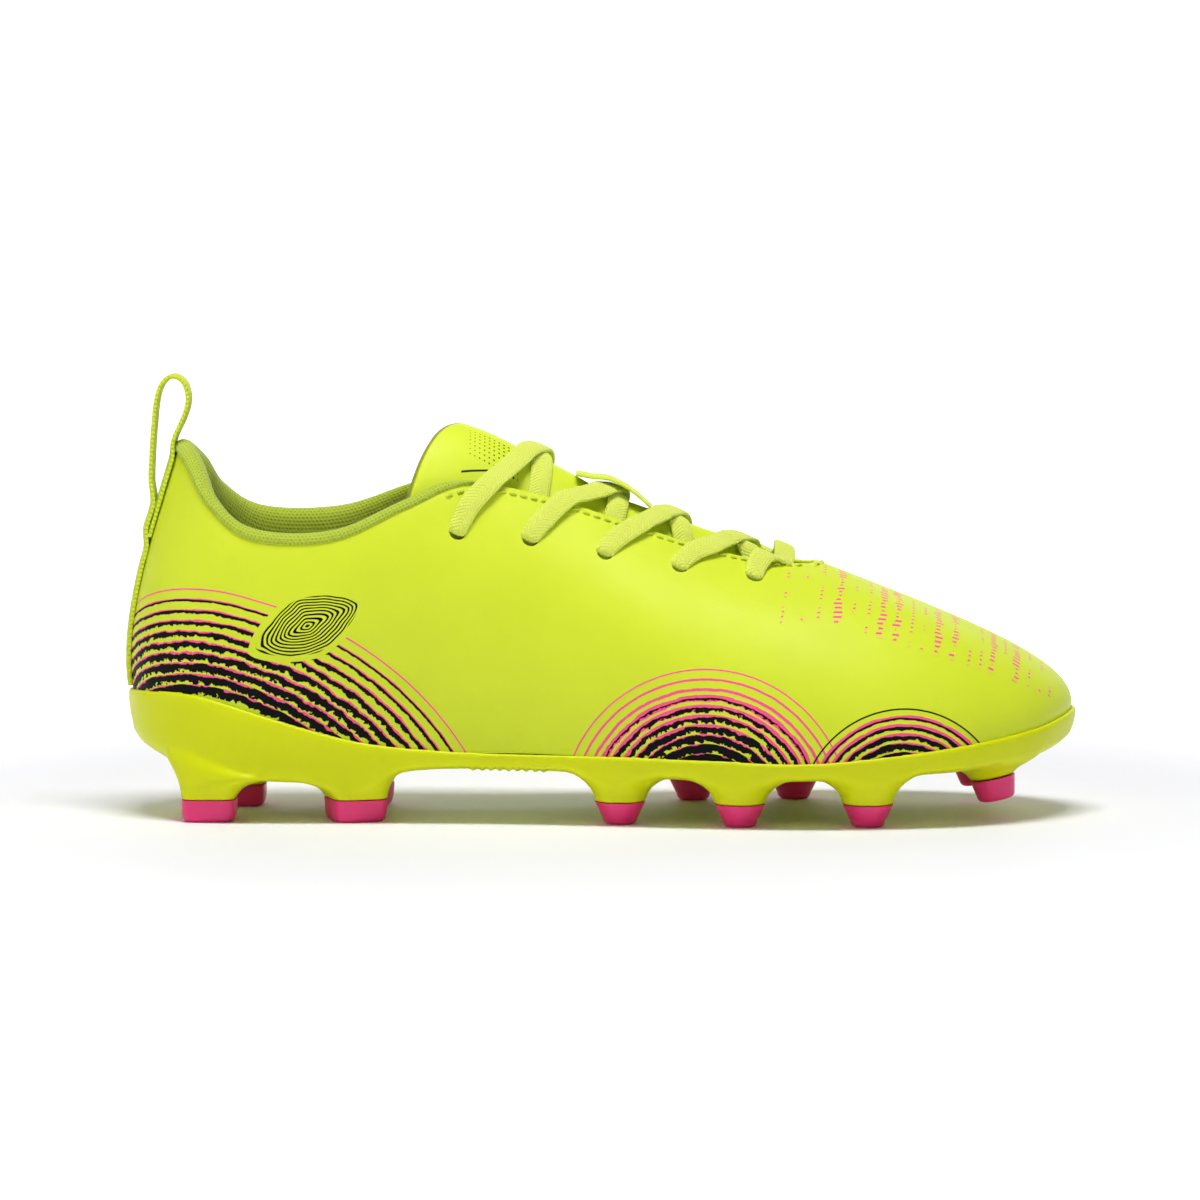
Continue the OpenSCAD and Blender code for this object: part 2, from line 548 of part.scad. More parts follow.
// ---- Lace tails ------------------------------------------------------------------------
// From the inside of the top eyelets down the side walls and along the forefoot.
tail_lateral = [[-35, -19, 73], [-34, -21, 68], [-31, -23, 60], [-25, -24, 50], [-17, -24.5, 41],
    [-7, -25, 33],
    [4, -26, 27], [16, -27, 23.5], [28, -28, 22], [40, -28, 21.5], [52, -27, 21.5], [63, -24, 22.3],
    [72, -18, 23.4]];
tail_medial = [[-35, 19, 73], [-34, 20.5, 68], [-31, 21, 60], [-25, 20.5, 50], [-17, 20.5, 41],
    [-7, 22, 33],
    [4, 24, 27], [16, 26, 23.5], [28, 27, 22], [40, 27, 21.5], [51, 25, 21.5], [60, 20, 21.8],
    [66, 12, 22.7]];
tail_w = 3.6;
tail_sides = 8;
tail_twist = 0.6;
function smooth_line(route, n) = concat(
    [for (k = [0:len(route) - 2], j = [0:n - 1])
        smooth4(route[max(k - 1, 0)], route[k], route[k + 1], route[min(k + 2, len(route) - 1)], j / n)],
    [route[len(route) - 1]]
);
function oval_ring(line, i, w, t, ref) =
    let (
        n = len(line) - 1, d = unit(line[min(i + 1, n)] - line[max(i - 1, 0)]),
        u = unit(ref - (ref * d) * d), v = cross(d, u)
    )
    [for (k = [0:tail_sides - 1])
        let (q = k * 360 / tail_sides) line[i] + u * cos(q) * w / 2 + v * sin(q) * t / 2];
module lace_tail(route) color(lime) {
    line = smooth_line(route, 2);
    n = len(line);
    // It twists from flat against the wall to flat on the sockliner.
    swept([for (i = [0:n - 1])
        let (f = min(1, i / (n * tail_twist)), across = unit([1 - f, 0.8 * f, 0.4 - 0.3 * f]))
        oval_ring(line, i, tail_w, lace_t, across)]);
}
aglet_len = 17;
aglet_r = 1.4;
module aglet(route) color("#EEF3C8") {
    n = len(route) - 1;
    d = unit(route[n] - route[n - 1]);
    translate(route[n] + d * 0.02) aim([d[0], d[1], 0.02]) cylinder(r = aglet_r, h = aglet_len, $fn = 24);
}
module lace_tail_lateral() lace_tail(tail_lateral);
module lace_tail_medial() lace_tail(tail_medial);
module aglet_lateral() aglet(tail_lateral);
module aglet_medial() aglet(tail_medial);

// ---- Heel webbing and pull loop ----------------------------------------------------------
web_reach = 0.33 * web_w / 10;
web_ts = [0.02, 0.15, 0.3, 0.45, 0.6, 0.72, 0.835];
module heel_webbing() color(lime) slab(
    sheet(arc_stations(-web_reach, web_reach, 4), web_ts, gap + web_t),
    sheet(arc_stations(-web_reach, web_reach, 4), web_ts, gap)
);
// The loop's centre line in the X-Z plane, up the outer strand and down the inner one.
loop_route = [[-114, 82.6], [-114, 89], [-113.3, 95], [-112.1, 101], [-110.9, 106], [-109.3, 109],
    [-107.2, 110],
    [-105, 109.1], [-103.4, 106.4], [-103.3, 103], [-104.3, 99.4], [-106, 96], [-107.9, 93],
    [-110, 90], [-111.6, 86.4],
    [-112.4, 82.6]];
module pull_loop() color(lime) {
    line = [for (p = smooth_line(loop_route, 2)) [p[0], 0, p[1]]];
    swept([for (i = [0:len(line) - 1]) flat_ring(line, i, web_w, web_t, [0, 1, 0])]);
}

// ---- Stitching along the facing's edge ---------------------------------------------------
stitch_pitch = 2.6;
stitch_len = 1.9;
stitch_r = 0.28;
stitch_in = 1.4;
station_table = [[-38, 5.62], [-32, 6], [-13, 7], [6, 8], [25, 9], [41, 10], [51, 11]];
module stitch(s) {
    t = edge_t(s, stitch_in);
    p = skin_point(s, t, stitch_r + 0.05);
    d = skin_point(s + 0.04, edge_t(s + 0.04, stitch_in)) - skin_point(s - 0.04, edge_t(s - 0.04, stitch_in));
    translate(p) aim(d) cylinder(r = stitch_r, h = stitch_len, center = true, $fn = 16);
}
module eyestay_stitches() color(lime) {
    for (side = [-1, 1], x = [-37:stitch_pitch:50]) stitch(on_side(side, along(station_table, x)));
    for (d = [-1.4, -0.5, 0.5, 1.4]) stitch(toe_at + d);
}

outsole_plate();
stud_tip_heel_rear_lateral();
stud_tip_heel_front_lateral();
stud_tip_heel_rear_medial();
stud_tip_heel_front_medial();
stud_tip_fore_lateral_1();
stud_tip_fore_lateral_2();
stud_tip_fore_lateral_3();
stud_tip_fore_medial_1();
stud_tip_fore_medial_2();
stud_tip_toe_lateral();
stud_tip_toe_medial();
strobel_board();
sockliner_front();
sockliner_rear();
upper_skin();
lining();
heel_counter();
toe_puff();
collar_foam();
collar_cover();
eyestay_lateral();
eyestay_medial();
tongue_body();
tongue_flap();
lace_keeper();
lace();
eyestay_stitches();
lace_tail_lateral();
lace_tail_medial();
aglet_lateral();
aglet_medial();
heel_webbing();
pull_loop();
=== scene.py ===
"""Football boot, right foot: the visual model over its CAD frame.

The tables are in millimetres, and MM turns them into metres when a mesh is made.
X runs from the heel to the toe, the outer side of the foot is -Y and +Z is up.
"""

import math
from collections import namedtuple

import bpy
import numpy as np
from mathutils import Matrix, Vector


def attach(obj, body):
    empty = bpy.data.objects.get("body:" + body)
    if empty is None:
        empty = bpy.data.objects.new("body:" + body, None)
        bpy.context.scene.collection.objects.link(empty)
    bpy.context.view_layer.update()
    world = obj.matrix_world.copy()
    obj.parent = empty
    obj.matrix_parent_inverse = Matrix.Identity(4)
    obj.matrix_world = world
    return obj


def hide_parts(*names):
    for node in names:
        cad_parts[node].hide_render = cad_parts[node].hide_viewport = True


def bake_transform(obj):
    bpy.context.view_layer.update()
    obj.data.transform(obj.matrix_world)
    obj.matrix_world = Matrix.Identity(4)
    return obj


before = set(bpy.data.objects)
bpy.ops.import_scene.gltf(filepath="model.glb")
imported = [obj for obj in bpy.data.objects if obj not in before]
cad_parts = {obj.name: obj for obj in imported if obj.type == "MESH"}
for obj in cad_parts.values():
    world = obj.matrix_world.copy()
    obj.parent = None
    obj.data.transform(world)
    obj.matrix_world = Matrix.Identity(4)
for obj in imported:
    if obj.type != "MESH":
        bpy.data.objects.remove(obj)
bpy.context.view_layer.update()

MM = 0.001


# ---- Small helpers ---------------------------------------------------------------
def unit(v):
    return v / np.linalg.norm(v, axis=-1, keepdims=True)


def smooth4(a, b, c, d, f):
    """A smooth curve through four neighbouring values, between the middle two."""
    return 0.5 * (2 * b + (c - a) * f + (2 * a - 5 * b + 4 * c - d) * f**2 + (3 * b - a - 3 * c + d) * f**3)


def along(table, x):
    """The smooth curve through a table of (x, value) pairs."""
    rows = np.array(table, float)
    x = np.asarray(x, float)
    i = np.clip(np.searchsorted(rows[:, 0], x, side="right") - 1, 0, len(rows) - 2)
    before, after = rows[np.maximum(i - 1, 0)], rows[np.minimum(i + 2, len(rows) - 1)]
    a, b = rows[i], rows[i + 1]
    wide = b[..., 0] - a[..., 0]
    f = np.clip((x - a[..., 0]) / wide, 0, 1)
    m0 = wide * (b[..., 1] - before[..., 1]) / (b[..., 0] - before[..., 0])
    m1 = wide * (after[..., 1] - a[..., 1]) / (after[..., 0] - a[..., 0])
    start, end = (2 * f**3 - 3 * f**2 + 1) * a[..., 1], (3 * f**2 - 2 * f**3) * b[..., 1]
    return start + (f**3 - 2 * f**2 + f) * m0 + end + (f**3 - f**2) * m1


def smooth_line(points, steps):
    """A smooth line through a few points, with this many steps from each to the next."""
    p = np.array(points, float)
    n = len(p) - 1
    out = []
    for k in range(n):
        for j in range(steps):
            out.append(smooth4(p[max(k - 1, 0)], p[k], p[k + 1], p[min(k + 2, n)], j / steps))
    out.append(p[n])
    return np.array(out)


def running(steps):
    """The distance from the start to every point, from the steps between them."""
    return np.concatenate([[0], np.cumsum(steps)])


def step_lengths(line):
    return np.linalg.norm(np.diff(line, axis=0), axis=1)


def stretched(values, count):
    """A short list of values, spread evenly over this many places."""
    return np.interp(np.linspace(0, len(values) - 1, count), np.arange(len(values)), values)


def circle(count, across, up, radius):
    """Points round a circle about the origin, in the plane of two directions."""
    turn = np.linspace(0, 2 * math.pi, count, endpoint=False)[:, None]
    return (np.cos(turn) * across + np.sin(turn) * up) * radius


# ---- The upper's surface ---------------------------------------------------------
# A station round the foot: the point at the sole, the point at the upper edge, and how
# the skin leaves them: (out, up) at the sole and (out, down) at the edge.
HEEL_ROW = [(-117.5, 0, 31.5), (-106.5, 0, 91), (3, 18), (4.5, 16)]
TOE_ROW = [(119, 4, 26.5), (54.5, 0, 63.6), (1.5, 11), (44, 17)]
LATERAL_ROWS = [
    [(-112.5, -15, 32.2), (-103, -10.5, 87.5), (3, 17), (3.5, 14)],
    [(-100, -25, 32), (-97, -19.5, 78), (2.5, 15), (3, 12)],
    [(-81, -28.5, 26.5), (-86, -25, 70), (3, 14), (3, 12)],
    [(-60, -28.3, 20.8), (-66, -27, 69.8), (3.5, 16), (4, 13)],
    [(-38, -28.5, 18.4), (-48, -25, 77.5), (3.5, 18), (6, 14)],
    [(-16, -30.8, 17.8), (-32, -19.5, 83.6), (3.5, 20), (9, 14)],
    [(6, -35, 17.6), (-13, -16, 80.3), (3, 20), (12, 13)],
    [(28, -39.8, 17.2), (6, -14.5, 74.2), (2.5, 19), (14, 12)],
    [(50, -42, 16.6), (25, -13, 68), (2, 18), (16, 11)],
    [(72, -40.6, 18.4), (41, -10.5, 64.2), (2, 16), (19, 10)],
    [(93, -33.5, 21), (51, -6.5, 63.3), (2, 13), (27, 10)],
    [(110, -18.5, 23.8), (54.3, -3, 63.5), (1.8, 12), (37, 13)],
]
MEDIAL_ROWS = [
    [(-112.5, 15, 32.2), (-103, 10.5, 87.5), (3, 17), (3.5, 14)],
    [(-100, 24.5, 32), (-97, 19, 79.5), (2.5, 15), (3, 12)],
    [(-81, 27.2, 26.5), (-86, 24.5, 73), (3, 14), (3, 12)],
    [(-60, 24.8, 20.8), (-66, 26, 73), (5, 17), (4, 13)],
    [(-38, 24, 18.4), (-48, 24.5, 79), (6, 20), (6, 14)],
    [(-16, 26.8, 17.8), (-32, 19.5, 83.6), (6, 21), (9, 14)],
    [(6, 33, 17.6), (-13, 16, 80.3), (4.5, 20), (12, 13)],
    [(28, 39, 17.2), (6, 14.5, 74.2), (3, 19), (14, 12)],
    [(50, 42, 16.6), (25, 13, 68), (2, 18), (16, 11)],
    [(72, 41.2, 18.4), (41, 10.5, 64.2), (2, 16), (19, 10)],
    [(93, 36, 21), (51, 6.5, 63.3), (2, 13), (27, 10)],
    [(110, 23.5, 23.8), (54.3, 3, 63.5), (1.8, 12), (37, 13)],
]
ROWS = [HEEL_ROW] + LATERAL_ROWS + [TOE_ROW] + MEDIAL_ROWS[::-1]
LOOP = len(ROWS)
TOE_AT = len(LATERAL_ROWS) + 1
COLUMNS = [np.array([row[k] for row in ROWS], float) for k in range(4)]
SOLE_POINT, EDGE_POINT, SOLE_PULL, EDGE_PULL = range(4)

# How thick the layers of the upper are, and the gap between one and the next.
SKIN = 1.2
GAP = 0.06
COUNTER = 1.1
LINING = 0.6
PUFF = 0.9
EYESTAY = 0.7
UNDER_SKIN = SKIN + COUNTER + 2 * GAP + LINING


def column(k, s):
    """One column of the station table, at any place s round the foot."""
    s = np.asarray(s, float)
    i = np.floor(s).astype(int)
    a, b, c, d = (COLUMNS[k][(i + o) % LOOP] for o in (-1, 0, 1, 2))
    return smooth4(a, b, c, d, (s - i)[..., None])


def outward(s):
    """The level direction straight out of the foot at station s."""
    d = column(SOLE_POINT, s + 0.1) - column(SOLE_POINT, s - 0.1)
    return unit(np.stack([d[..., 1], -d[..., 0], 0 * d[..., 0]], -1))


def meridian(s, t):
    """A point of the skin's outer face: t is 0 at the sole and 1 at the upper edge."""
    s, t = np.broadcast_arrays(np.asarray(s, float), np.asarray(t, float))
    b, e, low, high = (column(k, s) for k in (SOLE_POINT, EDGE_POINT, SOLE_PULL, EDGE_PULL))
    n = outward(s)
    up = np.array([0, 0, 1.0])
    h0 = b + n * low[..., :1] + up * low[..., 1:]
    h1 = e + n * high[..., :1] - up * high[..., 1:]
    t = t[..., None]
    u = 1 - t
    return u**3 * b + 3 * u * u * t * h0 + 3 * u * t * t * h1 + t**3 * e


def skin_normal(s, t):
    """The direction straight out of the skin."""
    s, t = np.asarray(s, float), np.asarray(t, float)
    round_foot = meridian(s + 0.05, t) - meridian(s - 0.05, t)
    upward = meridian(s, t + 0.02) - meridian(s, t - 0.02)
    return unit(np.cross(round_foot, upward))


def skin_point(s, t, off=0.0):
    return meridian(s, t) + np.asarray(off, float)[..., None] * skin_normal(s, t)


# Heights along X of the plate's underside, and of the floor inside the boot.
UNDER_TABLE = [(-119, 19), (-112, 16.5), (-100, 12.5), (-80, 10), (-60, 10.6), (-44, 13), (-20, 13.4),
               (0, 12.4), (20, 11.6), (50, 11.6), (72, 12.6), (92, 13.6), (108, 15.2), (121, 19)]
FLOOR_TABLE = [(-119, 21.5), (-110, 18.6), (-90, 15.5), (-60, 15.6), (-20, 16.6), (10, 15.6), (50, 15),
               (80, 16.6), (100, 18.2), (112, 19.6), (121, 22)]
FLOOR_CLEAR = 1.4


def tuck_t(s):
    """How far below t = 0 the skin runs on, to reach the floor inside the rim."""
    b, low = column(SOLE_POINT, s), column(SOLE_PULL, s)
    return -(b[..., 2] - along(FLOOR_TABLE, b[..., 0]) - FLOOR_CLEAR) / (3 * low[..., 1])


def edge_t(s, down):
    """The place on the meridian a given way down from the upper edge."""
    return 1 - down / (3 * np.linalg.norm(column(EDGE_PULL, s), axis=-1))


def on_side(side, s):
    """Station s of the lateral side (side < 0), or its mirror on the medial side."""
    return s if side < 0 else LOOP - s


# ---- Meshes ----------------------------------------------------------------------
def grid_faces(rows, cols, ring_rows, ring_cols, first=0):
    """Quads of a grid of points listed row by row."""
    i = np.arange(rows if ring_rows else rows - 1)[:, None]
    j = np.arange(cols if ring_cols else cols - 1)[None, :]
    a, b = (i * cols + j), (i * cols + (j + 1) % cols)
    c, d = (((i + 1) % rows) * cols + (j + 1) % cols), (((i + 1) % rows) * cols + j)
    return (np.stack([a, d, c, b], -1).reshape(-1, 4) + first).tolist()


def tube_faces(rows, cols, first=0):
    """A tube of rings, capped at both ends."""
    ends = [[first + j for j in range(cols)], [first + (rows - 1) * cols + j for j in range(cols)][::-1]]
    return grid_faces(rows, cols, False, True, first) + ends


def linked(name, data):
    """A new object in the scene."""
    obj = bpy.data.objects.new(name, data)
    bpy.context.scene.collection.objects.link(obj)
    return obj


def mesh_object(name, points, faces, smooth_angle=40):
    """A smooth-shaded object from points in millimetres, its faces turned outward."""
    mesh = bpy.data.meshes.new(name)
    mesh.from_pydata((np.asarray(points).reshape(-1, 3) * MM).tolist(), [], faces)
    mesh.update()
    obj = linked(name, mesh)
    turn_outward(mesh)
    mesh.shade_smooth()
    mesh.set_sharp_from_angle(angle=math.radians(smooth_angle))
    return obj


def turn_outward(mesh):
    """Flips the mesh if its faces point inward."""
    co = np.empty(len(mesh.vertices) * 3)
    mesh.vertices.foreach_get("co", co)
    co = co.reshape(-1, 3)
    mesh.calc_loop_triangles()
    tri = np.empty(len(mesh.loop_triangles) * 3, np.int32)
    mesh.loop_triangles.foreach_get("vertices", tri)
    a, b, c = co[tri.reshape(-1, 3)].transpose(1, 0, 2)
    if (a * np.cross(b, c)).sum() < 0:
        mesh.flip_normals()


def attribute(obj, name, values):
    """Stores a number or a vector per vertex, for the materials to read."""
    values = np.asarray(values, np.float32)
    kind, field = ("FLOAT_VECTOR", "vector") if values.ndim > 1 else ("FLOAT", "value")
    data = obj.data.attributes.new(name, kind, "POINT").data
    data.foreach_set(field, values.ravel())


def vertices(obj):
    """The mesh's vertices in millimetres."""
    co = np.empty(len(obj.data.vertices) * 3, np.float32)
    obj.data.vertices.foreach_get("co", co)
    return co.reshape(-1, 3) / MM


def move_vertices(obj, points):
    """Puts the mesh's vertices at these points in millimetres."""
    obj.data.vertices.foreach_set("co", (points * MM).astype(np.float32).ravel())
    obj.data.update()


def finish_piece(obj, material, nodes):
    """Gives a piece its material, puts it in the root body and hides the CAD nodes that it stands for."""
    obj.data.materials.append(material)
    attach(obj, "root")
    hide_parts(*nodes)


def with_modifier(obj, kind, **settings):
    """Applies one modifier to the object's mesh."""
    modifier = obj.modifiers.new(kind.lower(), kind)
    for key, value in settings.items():
        setattr(modifier, key, value)
    shaped = bpy.data.meshes.new_from_object(obj.evaluated_get(bpy.context.evaluated_depsgraph_get()))
    obj.modifiers.remove(modifier)
    obj.data = shaped


# ---- Node materials --------------------------------------------------------------
def opaque(colour):
    """A colour for an input: a socket as it is, or three numbers made opaque."""
    return colour if isinstance(colour, bpy.types.NodeSocket) else (*colour, 1.0)


def darker(colour, share):
    return tuple(v * share for v in colour)


class Graph:
    """A node material under construction, with coordinates in millimetres."""

    def __init__(self, name, roughness=0.5, specular=0.4):
        self.material = bpy.data.materials.new(name)
        self.material.use_nodes = True
        self.tree = self.material.node_tree
        self.shader = self.tree.nodes["Principled BSDF"]
        self.put(self.shader, "Roughness", roughness)
        self.put(self.shader, "Specular IOR Level", specular)
        place = self.tree.nodes.new("ShaderNodeTexCoord")
        scale = self.tree.nodes.new("ShaderNodeVectorMath")
        scale.operation = "SCALE"
        self.put(scale, 0, place.outputs["Object"])
        self.put(scale, "Scale", 1 / MM)
        self.place = scale.outputs[0]

    def put(self, node, key, value):
        """Links a socket to an input, or sets the input's value."""
        if isinstance(value, bpy.types.NodeSocket):
            self.tree.links.new(value, node.inputs[key])
        else:
            node.inputs[key].default_value = value

    def math(self, operation, *values):
        node = self.tree.nodes.new("ShaderNodeMath")
        node.operation = operation
        for k, value in enumerate(values):
            self.put(node, k, value)
        return node.outputs[0]

    def chain(self, operation, first, *others):
        """Joins values one after another with the same operation."""
        for value in others:
            first = self.math(operation, first, value)
        return first

    def times(self, *values):
        return self.chain("MULTIPLY", *values)

    def plus(self, *values):
        return self.chain("ADD", *values)

    def minus(self, a, b):
        return self.math("SUBTRACT", a, b)

    def most(self, *values):
        return self.chain("MAXIMUM", *values)

    def scaled(self, value, factor, start):
        """value * factor + start"""
        return self.math("MULTIPLY_ADD", value, factor, start)

    def hypot(self, a, b):
        return self.math("SQRT", self.plus(self.times(a, a), self.times(b, b)))

    def smooth(self, value, low, high):
        """0 below low and 1 above high."""
        node = self.tree.nodes.new("ShaderNodeMapRange")
        node.interpolation_type = "SMOOTHSTEP"
        for key, number in (("Value", value), ("From Min", low), ("From Max", high)):
            self.put(node, key, number)
        return node.outputs[0]

    def within(self, value, limit, soft=0.06):
        """1 where the value is closer to zero than the limit."""
        return self.smooth(self.minus(limit, self.math("ABSOLUTE", value)), -soft, soft)

    def split(self, vector):
        node = self.tree.nodes.new("ShaderNodeSeparateXYZ")
        self.put(node, 0, vector)
        return node.outputs[0], node.outputs[1], node.outputs[2]

    def stored(self, name):
        node = self.tree.nodes.new("ShaderNodeAttribute")
        node.attribute_name = name
        return node.outputs["Vector"]

    def noise(self, wavelength, detail, rough=0.5):
        node = self.tree.nodes.new("ShaderNodeTexNoise")
        self.put(node, "Vector", self.place)
        self.put(node, "Scale", 1 / wavelength)
        self.put(node, "Detail", detail)
        self.put(node, "Roughness", rough)
        return node.outputs[0]

    def cells(self, size):
        node = self.tree.nodes.new("ShaderNodeTexVoronoi")
        self.put(node, "Vector", self.place)
        self.put(node, "Scale", 1 / size)
        return node.outputs["Distance"]

    def mix(self, factor, a, b):
        """Colour a where the factor is 0 and b where it is 1."""
        node = self.tree.nodes.new("ShaderNodeMix")
        node.data_type = "RGBA"
        self.put(node, 0, factor)
        for key, value in ((6, a), (7, b)):
            self.put(node, key, opaque(value))
        return node.outputs[2]

    def waves(self, value, pitch):
        """A ripple from 0 to 1 with this pitch."""
        return self.scaled(self.math("SINE", self.times(value, 2 * math.pi / pitch)), 0.5, 0.5)

    def bump(self, height, depth, strength=1.0):
        """Adds relief of this depth in millimetres on top of what is there."""
        node = self.tree.nodes.new("ShaderNodeBump")
        self.put(node, "Height", height)
        self.put(node, "Distance", depth * MM)
        self.put(node, "Strength", strength)
        links = self.shader.inputs["Normal"].links
        if links:
            self.put(node, "Normal", links[0].from_socket)
        self.put(self.shader, "Normal", node.outputs[0])

    def colour(self, value):
        self.put(self.shader, "Base Color", opaque(value))

    def set(self, **inputs):
        for key, value in inputs.items():
            self.put(self.shader, key.replace("_", " "), value)


# Colours in linear light.
LIME = (0.68, 0.80, 0.03)
OLIVE = (0.72, 0.785, 0.003)
PINK = (0.86, 0.030, 0.205)
PRINT_PINK = (0.95, 0.10, 0.27)
INK = (0.006, 0.006, 0.007)
MESH = (0.49, 0.61, 0.045)
# Painted shade for the tongue's rear edge and underside.
TONGUE_EDGE_SHADE = (0.26, 0.30, 0.02)
LACE = (0.80, 0.90, 0.12)
BUFF = (0.70, 0.68, 0.62)


SKIN_GLOSS = 0.22
INK_GLOSS = 0.05

# Printed arcs: how many rings there are, how many outer ones are plain lines, how much
# thicker each band is than the one outside it, and how wide its pink fringe is.
HEEL_ARCS = dict(centre=(-106, -20.5), outer=78.6, pitch=2.76, rings=10, plain=1, growth=0.105, fringe=0.55,
                 squeeze=0.94)
MIDDLE_ARCS = dict(centre=(25.9, 4.5), outer=34.9, pitch=2.4, rings=12, plain=3, growth=0.16, fringe=1.7)
FRONT_ARCS = dict(centre=(74.2, 4.8), outer=25.0, pitch=2.3, rings=8, plain=1, growth=0.16, fringe=1.2)
BAND_HALF = 0.27
TORN_WAVE, TORN_DEPTH = 1.4, 2.7
SWAY_WAVE, SWAY_DEPTH = 4.5, 1.8
TORN_OUTSIDE = 0.45


def arcs(g, u, z, torn, centre, outer, pitch, rings, plain, growth, fringe, squeeze=1.0):
    """Printed arcs about a centre: (black, pink, plain ring) masks. The first few rings
    are plain lines, and the rest are bands that thicken inward, with a torn edge and a
    pink fringe outside them."""
    radius = g.hypot(g.times(g.minus(u, centre[0]), squeeze), g.minus(z, centre[1]))
    raw = g.math("DIVIDE", g.minus(outer, radius), pitch)
    ring = g.math("ROUND", raw)
    deeper = g.smooth(ring, -1.0, 7.0)
    sway = g.times(g.minus(g.noise(SWAY_WAVE, 1.0), 0.5), SWAY_DEPTH)
    off = g.times(g.minus(raw, ring), pitch)
    off = g.plus(off, g.times(deeper, g.scaled(torn, TORN_OUTSIDE, sway)))
    shown = g.times(g.smooth(ring, -0.6, -0.4), g.smooth(ring, rings - 0.4, rings - 0.6))
    banded = g.times(shown, g.smooth(ring, plain - 0.6, plain - 0.4))
    past_plain = g.minus(ring, plain)
    half = g.scaled(past_plain, growth, BAND_HALF)
    inner = g.plus(off, g.times(deeper, torn))
    black = g.times(g.smooth(g.plus(off, half), -0.06, 0.06), g.smooth(g.minus(half, inner), -0.06, 0.06))
    spread = g.times(g.noise(6.0, 2.0), g.scaled(past_plain, 0.1, fringe))
    pink = g.within(g.plus(off, half), spread)
    thin = g.scaled(g.most(ring, 0.0), 0.09, 0.2)
    line = g.times(g.minus(shown, banded), g.within(off, thin))
    return g.times(banded, black), g.times(banded, pink), line


# Where the toe's columns of dashes and of small dots stand along X.
DASH_COLUMNS = [60.8, 71.2, 74.8, 84.8, 89.0, 98.7, 104.7]
DOT_COLUMNS = [41.0, 47.5, 52.5, 56.5, 64.5, 68.0, 78.5, 81.5, 93.0, 95.8, 101.7, 108.0, 111.0, 113.5]
DASH_STEP = 1.65
DASH_SLANT = 0.22
DASH_HALF, DOT_HALF = 0.36, 0.3
DASHES_FROM_X = 40


def nearest(g, x, places):
    """How far x is from the nearest of a few places."""
    return g.chain("MINIMUM", *[g.math("ABSOLUTE", g.minus(x, at)) for at in places])


def dashes(g, x, down, drop):
    """Columns of short level dashes over the toe, thinning out down the side."""
    slant = g.scaled(drop, DASH_SLANT, x)
    row = g.math("DIVIDE", g.scaled(slant, 0.3, down), DASH_STEP)
    off = g.times(g.minus(row, g.math("ROUND", row)), DASH_STEP)
    size = g.scaled(g.noise(2.6, 0.0), 2.4, -0.55)
    big = g.times(g.within(nearest(g, slant, DASH_COLUMNS), size), g.within(off, DASH_HALF))
    small = g.times(g.within(nearest(g, slant, DOT_COLUMNS), DOT_HALF), g.within(off, DOT_HALF))
    patchy = g.smooth(g.noise(5.0, 0.0), 0.47, 0.53)
    above = g.smooth(g.minus(drop, g.scaled(x, -0.09, 17.6)), 0.6, -0.6)
    area = g.times(g.smooth(x, DASHES_FROM_X, DASHES_FROM_X + 1), above, g.smooth(down, 1.5, 3.5))
    return g.times(area, g.most(big, g.times(small, patchy)))


EMBLEM_AT = (-72.0, 49.5)
EMBLEM_HALF = (14.0, 7.0)
EMBLEM_TILT = math.radians(24)
EMBLEM_POWER = 1.45
EMBLEM_PITCH = 0.72
EMBLEM_CLEAR = 1.3


def emblem(g, u, z):
    """A plain tilted lozenge of fine concentric lines: (lines, its clear surround)."""
    du, dz = g.minus(u, EMBLEM_AT[0]), g.minus(z, EMBLEM_AT[1])
    c, s = math.cos(EMBLEM_TILT), math.sin(EMBLEM_TILT)
    x = g.plus(g.times(du, c), g.times(dz, s))
    y = g.minus(g.times(dz, c), g.times(du, s))
    parts = [g.math("POWER", g.math("DIVIDE", g.math("ABSOLUTE", value), half), EMBLEM_POWER)
             for value, half in zip((x, y), EMBLEM_HALF)]
    edge = EMBLEM_HALF[1]
    level = g.times(g.math("POWER", g.plus(*parts), 1 / EMBLEM_POWER), edge)
    wavy = g.scaled(g.minus(g.noise(8.0, 1.0), 0.5), 2.6, level)
    lines = g.smooth(g.waves(wavy, EMBLEM_PITCH), 0.45, 0.62)
    inside = g.smooth(level, edge + 0.05, edge - 0.05)
    surround = g.smooth(level, edge + EMBLEM_CLEAR + 0.05, edge + EMBLEM_CLEAR - 0.05)
    return g.times(lines, inside), surround


def grain(g):
    """The fine grain of a coated synthetic skin, with very shallow undulation."""
    fine = g.plus(g.noise(0.45, 3.0), g.times(g.cells(0.7), 0.5))
    g.bump(fine, 0.05, 0.5)
    g.bump(g.noise(16, 2.0), 0.5, 0.5)
    worn = g.smooth(g.noise(22, 4.0), 0.35, 0.75)
    g.set(Roughness=g.scaled(worn, 0.12, 0.42))


